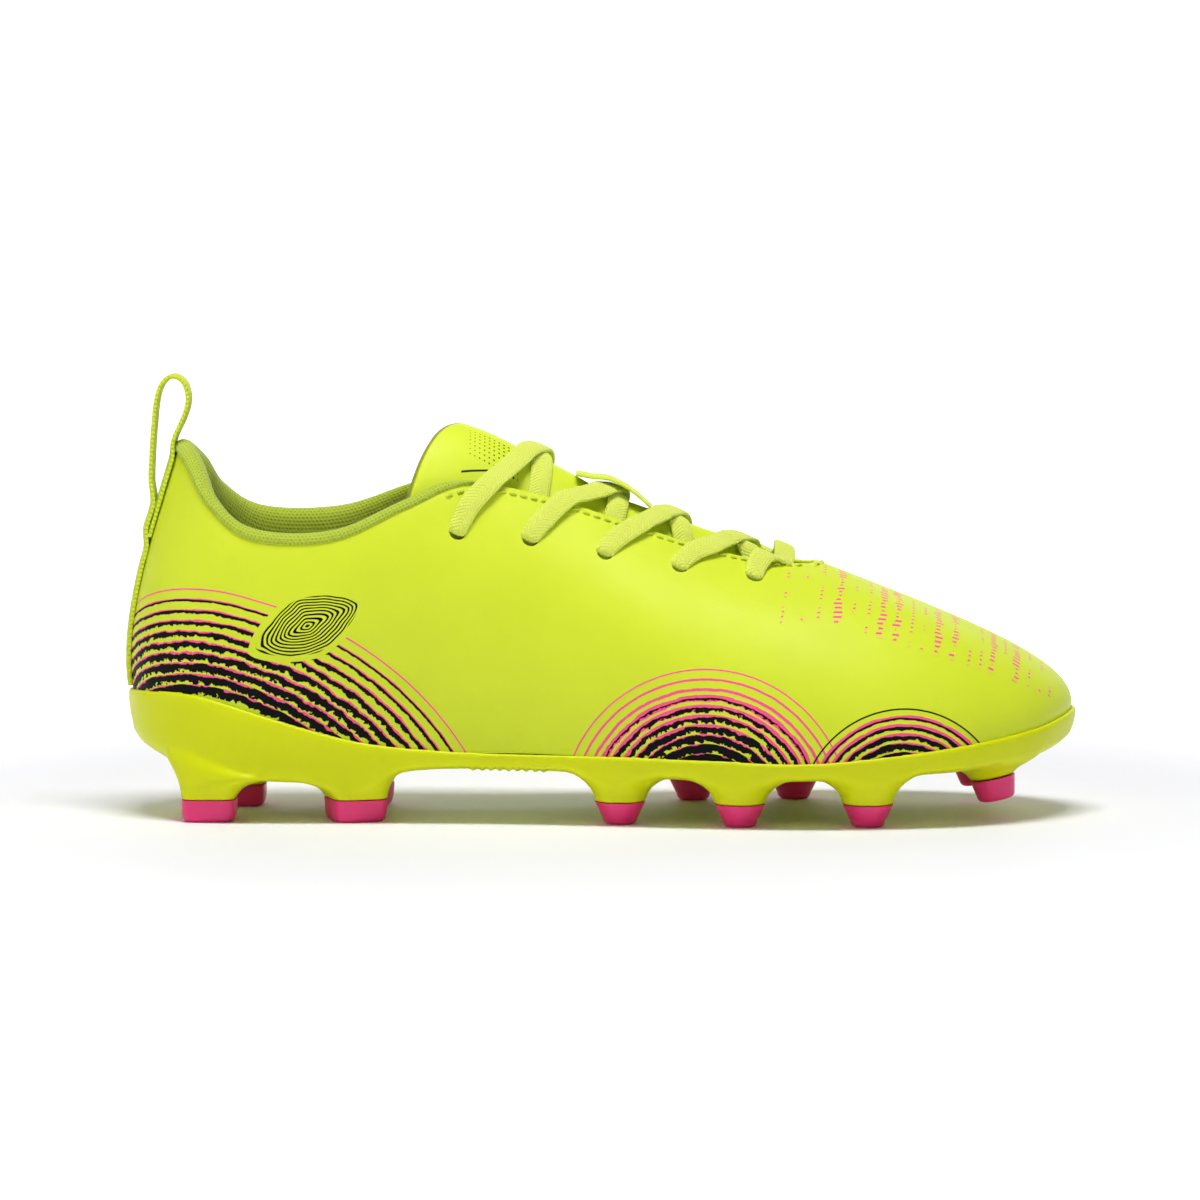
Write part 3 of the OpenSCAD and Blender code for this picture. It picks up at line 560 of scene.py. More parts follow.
def upper_material():
    """Matte coated skin with its printed arcs, dashes and lozenge."""
    g = Graph("upper_printed", specular=SKIN_GLOSS)
    u, z, down = g.split(g.stored("print"))
    drop, _, _ = g.split(g.stored("ridge"))
    x, _, _ = g.split(g.place)
    base = g.mix(g.smooth(g.noise(30, 2.0), 0.3, 0.7), LIME, darker(LIME, 0.96))
    torn = g.times(g.minus(g.noise(TORN_WAVE, 2.0, rough=0.6), 0.5), TORN_DEPTH)
    heel, middle, front = (arcs(g, u, z, torn, **shape) for shape in (HEEL_ARCS, MIDDLE_ARCS, FRONT_ARCS))
    lines, surround = emblem(g, u, z)
    clear = g.minus(1.0, surround)
    pink = g.most(heel[1], heel[2], middle[1], middle[2], front[1], dashes(g, x, down, drop))
    black = g.most(g.times(g.most(heel[0], middle[0], front[0], front[2]), clear), lines)
    g.colour(g.mix(black, g.mix(g.times(pink, clear), base, PRINT_PINK), INK))
    g.set(Specular_IOR_Level=g.scaled(black, INK_GLOSS - SKIN_GLOSS, SKIN_GLOSS))
    grain(g)
    return g.material


def plain_skin_material(name, colour):
    """The same coated skin without print."""
    g = Graph(name, specular=SKIN_GLOSS)
    g.colour(g.mix(g.smooth(g.noise(25, 2.0), 0.3, 0.7), colour, darker(colour, 0.95)))
    grain(g)
    return g.material


DOT_PITCH = (1.2, 1.0)


def tongue_material():
    """The tongue's skin, with a grid of printed dots, a thin line near its top, and painted shade in dark
    olive on its rear edge and underside.
    """
    g = Graph("tongue_skin", specular=SKIN_GLOSS)
    x, y, _ = g.split(g.place)
    off_x = g.math("SINE", g.times(x, math.pi / DOT_PITCH[0]))
    off_y = g.math("SINE", g.times(y, math.pi / DOT_PITCH[1]))
    size = g.scaled(x, 0.02, 0.98)
    dots = g.times(g.within(off_x, size), g.within(off_y, size))
    area = g.times(g.within(g.plus(x, 26.5), 6.0), g.within(g.plus(y, 7.2), 3.6))
    edge = g.plus(y, g.scaled(x, -0.35, 1.5))
    line = g.times(g.within(edge, 0.16), g.within(g.plus(x, 28.5), 6.0))
    ink = g.most(g.times(dots, area), line)
    from_rim, _, _ = g.split(g.stored("rim"))
    # Painted shade: a dark olive on the rear edge and on the underside.
    g.colour(g.mix(g.smooth(from_rim, 1.3, 0.7), g.mix(ink, LIME, INK), TONGUE_EDGE_SHADE))
    grain(g)
    return g.material


def woven(g, diagonal, ribs, share, colour, groove_shade):
    """Relief and colour of a woven band, from its diagonal ripples and its ribs, with painted shade
    darkening the valleys of the weave.
    """
    relief = g.times(diagonal, g.scaled(ribs, share, 1 - share))
    g.bump(relief, 0.22, 0.9)
    # Painted shade: the weave's valleys are coloured darker.
    g.colour(g.mix(g.scaled(relief, 0.8, 0.2), darker(colour, groove_shade), colour))


def lace_material():
    """Flat woven lace: fine lengthwise ribs crossed by its picks."""
    g = Graph("lace_weave", roughness=0.72, specular=0.2)
    run, across, _ = g.split(g.stored("band"))
    chevron = g.plus(run, g.times(g.math("ABSOLUTE", across), 0.8))
    # 0.86 sets the painted shade in the lace's weave.
    woven(g, g.waves(chevron, 0.95), g.waves(across, 0.62), 0.7, LACE, 0.86)
    g.bump(g.noise(0.3, 2.0), 0.05, 0.5)
    g.set(Sheen_Weight=0.15, Sheen_Roughness=0.5)
    return g.material


def webbing_material():
    """Twill webbing with lengthwise ribs."""
    g = Graph("webbing_twill", roughness=0.68, specular=SKIN_GLOSS)
    run, across, _ = g.split(g.stored("band"))
    twill = g.waves(g.scaled(across, 0.9, run), 1.1)
    # 0.82 sets the painted shade in the webbing's weave.
    woven(g, twill, g.waves(across, 0.85), 0.6, LIME, 0.82)
    g.set(Sheen_Weight=0.12)
    return g.material


MESH_ROW = 0.86


def mesh_material(name, colour, pitch, hole_shade):
    """Spacer mesh: staggered round openings in a knitted face, with painted shade darkening the openings."""
    g = Graph(name, roughness=0.8, specular=0.15)
    run, across, _ = g.split(g.stored("band"))
    row = g.math("ROUND", g.math("DIVIDE", across, pitch * MESH_ROW))
    shift = g.scaled(g.math("MODULO", g.math("ABSOLUTE", row), 2.0), pitch / 2, run)
    cell = g.math("DIVIDE", shift, pitch)
    dx = g.times(g.minus(cell, g.math("ROUND", cell)), pitch)
    dy = g.minus(across, g.times(row, pitch * MESH_ROW))
    solid = g.smooth(g.hypot(dx, dy), pitch * 0.18, pitch * 0.34)
    g.bump(solid, 0.25 * pitch, 0.9)
    g.bump(g.noise(0.35, 2.0), 0.06, 0.6)
    # Painted shade: the openings are coloured darker.
    g.colour(g.mix(solid, darker(colour, hole_shade), colour))
    g.set(Sheen_Weight=0.2)
    return g.material


def sole_material():
    """Moulded olive-lime plastic with a soft gloss and light scuffs underneath."""
    g = Graph("sole_plastic", specular=0.16)
    _, _, z = g.split(g.place)
    scuff = g.times(g.smooth(z, 13.0, 6.0), g.smooth(g.noise(3.0, 4.0, rough=0.7), 0.56, 0.7))
    tone = g.smooth(g.noise(35, 2.0), 0.35, 0.7)
    base = g.mix(tone, OLIVE, darker(OLIVE, 0.95))
    g.colour(g.mix(g.times(scuff, 0.12), base, (0.45, 0.5, 0.1)))
    g.bump(g.noise(0.9, 3.0), 0.03, 0.4)
    g.bump(g.noise(11, 1.0), 0.35, 0.4)
    g.set(Roughness=g.scaled(scuff, 0.2, 0.38))
    g.set(Coat_Weight=0.06, Coat_Roughness=0.2)
    return g.material


def tip_material():
    """Satin pink plastic, rubbed a little at its foot."""
    g = Graph("stud_tip_plastic", specular=0.45)
    _, _, z = g.split(g.place)
    rub = g.times(g.smooth(z, 1.6, 0.2), g.smooth(g.noise(1.8, 4.0, rough=0.7), 0.45, 0.65))
    g.colour(g.mix(g.times(rub, 0.35), PINK, (0.55, 0.08, 0.18)))
    g.bump(g.noise(0.7, 3.0), 0.03, 0.4)
    g.set(Roughness=g.scaled(rub, 0.25, 0.38))
    return g.material


def simple_material(name, colour, wavelength, depth, roughness=0.7):
    """A plain fibrous or foamy surface."""
    g = Graph(name, roughness=roughness, specular=0.25)
    fibre = g.noise(wavelength, 4.0, rough=0.7)
    g.colour(g.mix(fibre, darker(colour, 0.85), colour))
    g.bump(fibre, depth, 0.6)
    return g.material


GLOW_FROM, GLOW_TO = 140, 440
GLOW = 0.8


def floor_material():
    """Matte white, lit from behind like a light box beyond the boot's surroundings."""
    g = Graph("studio_floor", roughness=0.6, specular=0.1)
    g.colour(g.mix(g.noise(240, 2.0), (0.91, 0.91, 0.94), (0.93, 0.93, 0.96)))
    g.bump(g.noise(2.5, 2.0), 0.02, 0.2)
    x, y, _ = g.split(g.place)
    glow = g.times(g.smooth(g.hypot(x, y), GLOW_FROM, GLOW_TO), GLOW)
    g.set(Emission_Color=(1, 1, 1, 1), Emission_Strength=glow)
    return g.material


# ---- Camera, floor and light -----------------------------------------------------
AIM = np.array([0, 0, 53.6])
CAMERA_UP = math.radians(4.45)
CAMERA_AWAY = 1400
CAMERA_LENS = 167
CAMERA_SENSOR = 36
WORLD_LIGHT = 0.12


def make_camera():
    """The camera at the photograph's height and angle."""
    data = bpy.data.cameras.new("camera")
    data.lens, data.sensor_width = CAMERA_LENS, CAMERA_SENSOR
    obj = linked("camera", data)
    place = AIM + CAMERA_AWAY * np.array([0, -math.cos(CAMERA_UP), math.sin(CAMERA_UP)])
    obj.location = Vector(place * MM)
    obj.rotation_euler = Vector((AIM - place).tolist()).to_track_quat("-Z", "Y").to_euler()
    bpy.context.scene.camera = obj


def make_light(name, place, aim, size, power):
    """A rectangular area light, aimed at a point."""
    data = bpy.data.lights.new(name, "AREA")
    data.shape, data.size, data.size_y = "RECTANGLE", size[0] * MM, size[1] * MM
    data.energy = power
    obj = linked(name, data)
    obj.location = Vector([v * MM for v in place])
    obj.rotation_euler = Vector([b - a for a, b in zip(place, aim)]).to_track_quat("-Z", "Y").to_euler()


def make_studio():
    """A seamless pale floor that curves up behind, under broad soft light."""
    half, back, bend, high, steps = 4000, 2600, 900, 3600, 24
    turn = np.linspace(0, math.pi / 2, steps)
    profile = [(-half, 0)] + [(back + bend * math.sin(a), bend * (1 - math.cos(a))) for a in turn]
    profile.append((back + bend, high))
    points = np.array([[(x, y, z) for y, z in profile] for x in (-half, half)], float)
    floor = mesh_object("floor", points, grid_faces(2, len(profile), False, False))
    floor.data.materials.append(floor_material())
    world = bpy.data.worlds.new("studio")
    bpy.context.scene.world = world
    world.use_nodes = True
    background = world.node_tree.nodes["Background"]
    background.inputs["Color"].default_value = (1, 1, 1, 1)
    background.inputs["Strength"].default_value = WORLD_LIGHT
    make_light("overhead", (0, -230, 880), (0, 0, 30), (420, 240), 6.8)
    make_light("key", (520, -1000, 800), (20, 0, 50), (900, 700), 1.0)
    make_light("fill", (-700, -1100, 420), (-40, 0, 50), (700, 700), 0.8)
    make_light("heel_light", (-1100, -250, 350), (-60, 0, 50), (500, 500), 1.2)
    bpy.context.scene.view_settings.view_transform = "Standard"


# ---- Laces -----------------------------------------------------------------------
# The lace's width and thickness, how much fuller it is drawn than that, how far its layers
# stand apart, and how deep its middle runs inside the lining and how high over the skin.
LACE_W = 4.9
LACE_T = 1.2
LACE_PUFF = 1.2
LACE_SPREAD = 1.12
LACE_SLIP = 0.15
LACE_IN = UNDER_SKIN + LACE_SLIP + LACE_T / 2
LACE_REST = 0.4 + LACE_T / 2
# The five eyelets of a side, from the top one forward, as (station, share of the meridian).
EYELETS = [(5.75, 0.8), (6.72, 0.78), (7.7, 0.8), (8.65, 0.84), (9.7, 0.88)]
EYELET_D = 4.2
# Where the crossings pass over the tongue's crest, and the bar in front of them.
CROSS_XS = [-16.6, 2.6, 17.6, 34.5]
BAR_X = 44.6
BAR_RISE = 3.6
HOLE_PINCH = 0.6
HOLE_LACE_UP = 0.006
LACE_REF = unit(np.array([1, 0, -0.42]))

# The tongue along X: its crest's height, how it arches across, its half width and thickness.
CREST_TABLE = [(-56, 101.5), (-46, 101), (-37, 98.9), (-28, 95.8), (-20, 91.9), (-11, 87.6), (-5, 84.3),
               (2.6, 80.1), (9, 77.8), (14, 76), (28, 71), (36, 68.4), (44, 64.6), (54, 59.2), (66, 53)]
ARCH_TABLE = [(-56, 0.056), (-37, 0.06), (-20, 0.078), (-8, 0.07), (4, 0.066), (20, 0.088), (38, 0.115),
              (66, 0.075)]
HALF_TABLE = [(-56, 20), (-48, 20), (-36, 18.5), (-22, 18), (0, 18.5), (20, 17), (40, 13.5), (66, 10.5)]
THICK_TABLE = [(-56, 1), (-22, 1), (0, 0.85), (30, 0.6), (66, 0.45)]


def tongue_point(x, y, depth):
    """A point under the tongue's outer face, given along X and Y."""
    x, y, depth = (np.asarray(v, float) for v in (x, y, depth))
    arch = along(ARCH_TABLE, x)
    slope = (along(CREST_TABLE, x + 1) - along(CREST_TABLE, x - 1)) / 2
    n = unit(np.stack(np.broadcast_arrays(-slope, 2 * arch * y, np.ones_like(x * y)), -1))
    p = np.stack(np.broadcast_arrays(x, y, along(CREST_TABLE, x) - arch * y * y), -1)
    return p - depth[..., None] * n


def in_hole(side, n, off, pinch):
    """A stop inside eyelet n, with the lace pinched narrow."""
    s, t = EYELETS[n]
    return skin_point(on_side(side, s), t + HOLE_LACE_UP, off), pinch


def on_skin(side, n, ds, t, off):
    """A stop over the skin, ds stations in front of eyelet n."""
    return skin_point(on_side(side, EYELETS[n][0] + ds), t, off), 1.0


def on_tongue(x, y, rise):
    """A stop above the tongue."""
    return tongue_point(x, y, -rise), 1.0


def taut(a, b):
    """Two points on the straight line between a and b."""
    return [(a[0] + (b[0] - a[0]) * f, 1.0) for f in (1 / 3, 2 / 3)]


def crossing(side, n):
    """From inside eyelet n + 1 on one side, over the tongue, into eyelet n on the other."""
    edge = column(EDGE_POINT, EYELETS[n + 1][0] + 0.16)
    edge_x, edge_y, x = edge[0], abs(edge[1]), CROSS_XS[n]
    top = LACE_REST + LACE_T + LACE_SLIP if side > 0 else LACE_REST
    return [
        on_skin(side, n + 1, 0.1, 0.94, -LACE_IN - 0.3),
        on_skin(side, n + 1, 0.14, 1, -LACE_IN - 0.3),
        on_tongue(edge_x - 0.5, side * (edge_y - 4.6), LACE_REST),
        on_tongue(x + 1.6, side * 3.4, top + 0.2),
        on_tongue(x - 1.6, -side * 3.4, top + 0.2),
        *taut(on_tongue(x - 1.6, -side * 3.4, top + 0.2), on_skin(-side, n, 0.5, 1, LACE_REST + 0.7)),
        on_skin(-side, n, 0.5, 1, LACE_REST + 0.7),
        on_skin(-side, n, 0.22, EYELETS[n][1] + 0.09, LACE_REST + 0.2),
        in_hole(-side, n, 0.35, 0.85),
        in_hole(-side, n, -UNDER_SKIN / 2, HOLE_PINCH),
        in_hole(-side, n, -LACE_IN - 0.1, 0.8),
    ]


def half_lace(side):
    """From the middle of the front bar to the inside of the top eyelet."""
    start = [
        on_tongue(BAR_X, side * 4.6, BAR_RISE),
        on_skin(side, 4, 0.3, 1, LACE_REST + 0.8),
        on_skin(side, 4, 0.12, 0.95, LACE_REST + 0.15),
        in_hole(side, 4, 0.35, 0.85),
        in_hole(side, 4, -UNDER_SKIN / 2, HOLE_PINCH),
        in_hole(side, 4, -LACE_IN - 0.1, 0.8),
    ]
    return start + crossing(side, 3) + crossing(-side, 2) + crossing(side, 1) + crossing(-side, 0)


def rounded_section(count, wide, thick, power):
    """A flat rounded outline as (across, through) pairs."""
    turn = np.linspace(0, 2 * math.pi, count, endpoint=False)
    c, s = np.cos(turn), np.sin(turn)
    across = np.sign(c) * np.abs(c) ** power * wide / 2
    through = np.sign(s) * np.abs(s) ** power * thick / 2
    return np.stack([across, through], -1)


def band(name, line, widths, ref, wide, thick, count=28, power=0.55):
    """A flat band swept along a line; ref is the direction its width follows."""
    n = len(line)
    ahead = unit(line[np.minimum(np.arange(n) + 1, n - 1)] - line[np.maximum(np.arange(n) - 1, 0)])
    ref = np.broadcast_to(ref, line.shape)
    across = unit(ref - (ref * ahead).sum(-1, keepdims=True) * ahead)
    through = np.cross(ahead, across)
    section = rounded_section(count, wide, thick, power)
    flat = section[None, :, :1] * widths[:, None, None]
    points = line[:, None] + flat * across[:, None] + section[None, :, 1:] * through[:, None]
    obj = mesh_object(name, points, tube_faces(n, count), 60)
    coords = np.zeros((n, count, 3))
    coords[..., 0] = running(step_lengths(line))[:, None]
    coords[..., 1] = flat[..., 0]
    attribute(obj, "band", coords.reshape(-1, 3))
    return obj


def make_lace(material):
    """The whole lace between the two top eyelets."""
    stops = half_lace(-1)[::-1] + [on_tongue(BAR_X, 0, BAR_RISE)] + half_lace(1)
    line = smooth_line([p for p, _ in stops], 9)
    widths = stretched([w for _, w in stops], len(line))
    obj = band("lace_run", line, widths, LACE_REF, LACE_W * LACE_SPREAD, LACE_T * LACE_PUFF, power=0.75)
    finish_piece(obj, material, ["lace"])


# The lace's ends, from inside the top eyelets down into the toe.
TAIL_LATERAL = [(-35, -19, 73), (-34, -21, 68), (-31, -23, 60), (-25, -24, 50), (-17, -24.5, 41),
                (-7, -25, 33), (4, -26, 27), (16, -27, 23.5), (28, -28, 22), (40, -28, 21.5),
                (52, -27, 21.5), (63, -24, 22.3), (72, -18, 23.4)]
TAIL_MEDIAL = [(-35, 19, 73), (-34, 20.5, 68), (-31, 21, 60), (-25, 20.5, 50), (-17, 20.5, 41), (-7, 22, 33),
               (4, 24, 27), (16, 26, 23.5), (28, 27, 22), (40, 27, 21.5), (51, 25, 21.5), (60, 20, 21.8),
               (66, 12, 22.7)]
TAIL_W = 3.6
AGLET_LEN = 17
AGLET_R = 1.4


def make_tail(side_name, route, lace, film):
    """A tail tucked down inside the boot, with its aglet."""
    line = smooth_line(route, 6)
    f = np.minimum(1, np.linspace(0, 1, len(line)) / 0.6)[:, None]
    ref = unit(np.concatenate([1 - f, 0.8 * f, 0.4 - 0.3 * f], -1))
    tail = band("lace_end_" + side_name, line, np.ones(len(line)), ref, TAIL_W, LACE_T, 20, 0.7)
    finish_piece(tail, lace, ["lace_tail_" + side_name])
    ahead = unit((np.array(route[-1], float) - route[-2]) * [1, 1, 0])
    steps = [(0.0, 0.7), (0.15, 1.0), (AGLET_LEN - 0.7, 1.0), (AGLET_LEN - 0.15, 0.85), (AGLET_LEN, 0.5)]
    ring = circle(24, np.array([-ahead[1], ahead[0], 0]), np.array([0, 0, 1.0]), AGLET_R)
    points = np.array([line[-1] + ahead * a + ring * r for a, r in steps])
    aglet = mesh_object("aglet_film_" + side_name, points, tube_faces(len(steps), 24))
    finish_piece(aglet, film, ["aglet_" + side_name])


# ---- Upper, lining and stiffeners ------------------------------------------------
HEEL_TURN_X = -85
HEEL_TURN_R = 36


def print_coordinates(points):
    """(distance unrolled round the heel, height, distance from the toe's ridge), and the
    height below that ridge."""
    x, y, z = points.T
    round_heel = np.arctan2(HEEL_TURN_X - x, np.abs(y)) * HEEL_TURN_R
    u = np.where(x > HEEL_TURN_X, x, HEEL_TURN_X - round_heel)
    ridge = meridian(TOE_AT, np.linspace(1, 0, 80))
    top = np.interp(x, ridge[:, 0], ridge[:, 2])
    drop = np.maximum(top - z, 0)
    return np.stack([u, z, np.hypot(y, drop)], -1), np.stack([drop, 0 * drop, 0 * drop], -1)


def closed_sheet(s, t, outer, inner):
    """A closed ring of points for each station: up the outer face, round its edge and
    down the inner face. t has a row for every station in s."""
    middle, half = (outer + inner) / 2, (outer - inner) / 2
    turn = np.linspace(0, math.pi, 7)[1:-1]
    top = t[:, -1]
    n, up = skin_normal(s, top), unit(meridian(s, top) - meridian(s, top - 0.03))
    centre = skin_point(s, top, middle)
    lip = np.stack([centre + half * (n * math.cos(a) + up * math.sin(a)) for a in turn], 1)
    outside, inside = skin_point(s[:, None], t, outer), skin_point(s[:, None], t[:, ::-1], inner)
    return np.concatenate([outside, lip, inside], 1)


def eyelet_cutter():
    """Ten round punches, one through each eyelet."""
    points, faces = [], []
    for side in (-1, 1):
        for s, t in EYELETS:
            s = on_side(side, s)
            n = skin_normal(s, t)
            u = unit(np.cross(n, [0, 1.0, 0]))
            ring = circle(32, u, np.cross(n, u), EYELET_D / 2)
            faces += tube_faces(2, 32, 32 * len(points))
            points += [skin_point(s, t, -4) + ring, skin_point(s, t, 3) + ring]
    return mesh_object("eyelet_cutter", np.array(points), faces)


def punch(obj, cutter):
    """Cuts the eyelet holes."""
    with_modifier(obj, "BOOLEAN", operation="DIFFERENCE", solver="EXACT", object=cutter)
    obj.data.shade_smooth()
    obj.data.set_sharp_from_angle(angle=math.radians(40))


def make_upper(material, back, cutter):
    """The outer skin in one piece, printed outside and plain inside."""
    s = np.linspace(0, LOOP, LOOP * 14, endpoint=False)
    share = np.linspace(0, 1, 64)
    low = tuck_t(s)[:, None]
    t = low + (1 - low) * share
    points = closed_sheet(s, t, 0, -SKIN)
    obj = mesh_object("upper_shell", points, grid_faces(*points.shape[:2], True, True))
    obj.data.materials.append(material)
    obj.data.materials.append(back)
    cols = points.shape[1]
    index = np.zeros((len(s), cols), np.int32)
    index[:, len(share) + 4:] = 1
    obj.data.polygons.foreach_set("material_index", index.ravel())
    obj.data.update()
    punch(obj, cutter)
    for name, values in zip(("print", "ridge"), print_coordinates(vertices(obj))):
        attribute(obj, name, values)
    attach(obj, "root")
    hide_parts("upper_skin")


LINING_OUT = -SKIN - COUNTER - 2 * GAP
COLLAR_DROP = 17
COLLAR_FRONT = 5.5


def lining_top(s):
    """The lining stops below the collar's padding."""
    u = np.minimum(s, LOOP - s)
    c = np.clip((COLLAR_FRONT - u) / 0.5, 0, 1)
    return 0.995 - c * COLLAR_DROP / (3 * np.linalg.norm(column(EDGE_PULL, s), axis=-1))


def band_coordinates(points):
    """Distance along and across a grid of points, in millimetres."""
    run = running(step_lengths(points.mean(1)))
    across = running(np.linalg.norm(np.diff(points, axis=1), axis=2).mean(0))
    out = np.zeros(points.shape)
    out[..., 0], out[..., 1] = run[:, None], across[None, :]
    return out.reshape(-1, 3)


def make_lining(material, cutter):
    """The mesh lining, up to the collar's padding."""
    s = np.linspace(0, LOOP, LOOP * 8, endpoint=False)
    low = (tuck_t(s) * 0.9)[:, None]
    t = low + (lining_top(s)[:, None] - low) * np.linspace(0, 1, 32)
    points = closed_sheet(s, t, LINING_OUT, LINING_OUT - LINING)
    obj = mesh_object("lining_cloth", points, grid_faces(*points.shape[:2], True, True))
    attribute(obj, "band", band_coordinates(points))
    punch(obj, cutter)
    finish_piece(obj, material, ["lining"])


# Where the layers under the skin run, in stations round the foot and up the meridian.
HEEL_CUP_SPAN, HEEL_CUP_RISE = (-11 / 3, 11 / 3), (0.1, 0.5)
TOE_CAP_SPAN, TOE_CAP_RISE = (TOE_AT - 8 / 3, TOE_AT + 8 / 3), (0.1, 0.4)
FACING_SPAN, FACING_RISE = (16 / 3, 31 / 3), (0.7, 0.985)


def make_layer(name, node, span, heights, thick, material, cutter=None):
    """A stiffener or tape under the skin."""
    s = np.linspace(*span, 60)
    t = np.broadcast_to(np.linspace(*heights, 12), (60, 12))
    points = closed_sheet(s, t, -SKIN - GAP, -SKIN - GAP - thick)
    rows, cols = points.shape[:2]
    ends = [list(range(cols)), list(range((rows - 1) * cols, rows * cols))[::-1]]
    obj = mesh_object(name, points, grid_faces(rows, cols, False, True) + ends)
    if cutter:
        punch(obj, cutter)
    finish_piece(obj, material, [node])


# ---- Collar ----------------------------------------------------------------------
COLLAR_END = 5.25
ROLL_END = 6.15
COLLAR_IN = SKIN + 2 * GAP
# The pad's outline as (inward, up) from the skin's outer edge, and below it on the skin.
PAD_SECTION = [(0.3, 0.1), (-0.7, 1.0), (-0.5, 2.4), (0.9, 3.5), (2.8, 3.5), (4.7, 2.2), (5.9, -0.8),
               (6.3, -5), (5.6, -10.2), (3.7, -16), (1.7, -15.8), (1.45, -10), (1.4, -4), (1.35, -1.2)]


def make_collar(material):
    """The padded collar as one rolled pad of spacer mesh."""
    s = np.linspace(-ROLL_END, ROLL_END, 340)
    full = 0.3 + 0.7 * np.clip((COLLAR_END - np.abs(s)) / 1.4, 0, 1)
    closed = smooth_line(PAD_SECTION + PAD_SECTION[:1], 5)[:-1]
    d = closed[None, :, 0]
    inward = np.where(d > COLLAR_IN, COLLAR_IN + (d - COLLAR_IN) * full[:, None], d)
    thin = np.minimum(1, 0.3 + (ROLL_END - np.abs(s)) / 0.9)[:, None]
    deep = np.clip((COLLAR_END + 0.25 - np.abs(s)) / 1.6, 0.03, 1)[:, None]
    z = closed[None, :, 1]
    rise = np.where(z > 0, z * thin, z * deep)
    q = s[:, None] % LOOP
    up = unit(meridian(q, 1) - meridian(q, 0.97))
    above = meridian(q, 1) - skin_normal(q, 0.985) * inward[..., None] + up * rise[..., None]
    below = skin_point(q, edge_t(q, np.maximum(-rise, 0)), -inward)
    points = np.where((rise > 0)[..., None], above, below)
    obj = mesh_object("collar_pad", points, tube_faces(*points.shape[:2]), 70)
    attribute(obj, "band", band_coordinates(points))
    finish_piece(obj, material, ["collar_cover", "collar_foam"])


# ---- Tongue ----------------------------------------------------------------------
TONGUE_THICK = 3.4
TONGUE_ROUND = 2.2
FOLD_X = -22
FLAP_BACK = 14.2
FLAP_SWEEP = 12.5
SWEEP_SOFT = 0.02
SWEEP_POWER = 0.4
TONGUE_FRONT = 66


def make_tongue(material):
    """One padded sheet, bending where its free end folds."""
    v = np.sin(np.linspace(-1, 1, 61) * math.pi / 2)[None, :]
    f = ((1 - np.cos(np.linspace(0, 1, 150) * math.pi)) / 2)[:, None]
    low, high = SWEEP_SOFT**SWEEP_POWER, (1 + SWEEP_SOFT)**SWEEP_POWER
    sweep = ((v * v + SWEEP_SOFT)**SWEEP_POWER - low) / (high - low)
    rear = FOLD_X - FLAP_BACK - FLAP_SWEEP * sweep
    x = rear + (TONGUE_FRONT - rear) * f
    y = v * along(HALF_TABLE, x)
    round_v = np.sqrt(np.clip(1 - np.abs(v) ** 12, 0, 1))
    from_rear = np.clip((x - rear) / TONGUE_ROUND, 0, 1)
    round_f = np.sqrt(np.clip(1 - (1 - from_rear) ** 2, 0, 1))
    middle = TONGUE_THICK / 2 * along(THICK_TABLE, x)
    half = middle * np.maximum(round_v * round_f, 0.03)
    outer, inner = tongue_point(x, y, middle - half), tongue_point(x, y, middle + half)
    points = np.concatenate([outer, inner[:, ::-1]], 1)
    obj = mesh_object("tongue", points, tube_faces(*points.shape[:2]), 60)
    from_edge = x - rear
    # The distance from the rear edge, which the tongue's material reads for its painted shade.
    attribute(obj, "rim", np.concatenate([from_edge, -from_edge[:, ::-1]], 1).ravel())
    obj.data.materials.append(material)
    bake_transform(obj)
    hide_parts("tongue_body", "tongue_flap")


# The keeper's height along X.
KEEPER_TABLE = [(-6, 86.3), (-2, 85.6), (2.6, 85), (8, 82.1), (13, 77.8)]
KEEPER_HALF = 6
KEEPER_T = 0.9
KEEPER_ARCH = 0.012


def make_keeper(material):
    """The strap on the tongue that holds the second crossing."""
    x = np.linspace(KEEPER_TABLE[0][0], KEEPER_TABLE[-1][0], 40)[:, None]
    section = rounded_section(40, 2 * KEEPER_HALF, KEEPER_T, 0.35)[None]
    y = section[..., 0] + 0 * x
    z = along(KEEPER_TABLE, x) - KEEPER_ARCH * y * y - KEEPER_T / 2 + section[..., 1]
    points = np.stack([x + 0 * y, y, z], -1)
    obj = mesh_object("keeper_strap", points, tube_faces(*points.shape[:2]), 60)
    finish_piece(obj, material, ["lace_keeper"])


# ---- Stitching, webbing and pull loop --------------------------------------------
# The facing's row of stitches as (x, station) pairs.
STITCH_LINE = [(-38, 5.62), (-32, 6), (-13, 7), (6, 8), (25, 9), (41, 10), (51, 11)]
STITCH_SPAN = (-37, 50)
STITCH_PITCH = 2.6
STITCH_LEN = 2.0
STITCH_IN = 1.4
THREAD_R = 0.3
THREAD_RISE = 0.32
THREAD_DIP = 0.62


def make_stitches(material):
    """One short thread arc for each stitch along the facing."""
    row = [float(along(STITCH_LINE, x)) for x in np.arange(*STITCH_SPAN, STITCH_PITCH)]
    places = row + [on_side(1, s) for s in row] + [TOE_AT + d for d in (-1.4, -0.5, 0.5, 1.4)]
    points, faces, rings = [], [], 9
    for s in places:
        a, b = (skin_point(s + d, edge_t(s + d, STITCH_IN)) for d in (-0.04, 0.04))
        n, ahead = skin_normal(s, float(edge_t(s, STITCH_IN))), unit(b - a)
        side = np.cross(n, ahead)
        faces += tube_faces(rings, 8, len(points) * 8)
        for f in np.linspace(-1, 1, rings):
            centre = (a + b) / 2 + ahead * f * STITCH_LEN / 2 + n * (THREAD_RISE - THREAD_DIP * f**4)
            points.append(centre + circle(8, side, n, THREAD_R))
    obj = mesh_object("facing_thread", np.array(points), faces)
    finish_piece(obj, material, ["eyestay_stitches"])


WEB_W = 10
WEB_T = 1.2
HEEL_BACK_R = 17
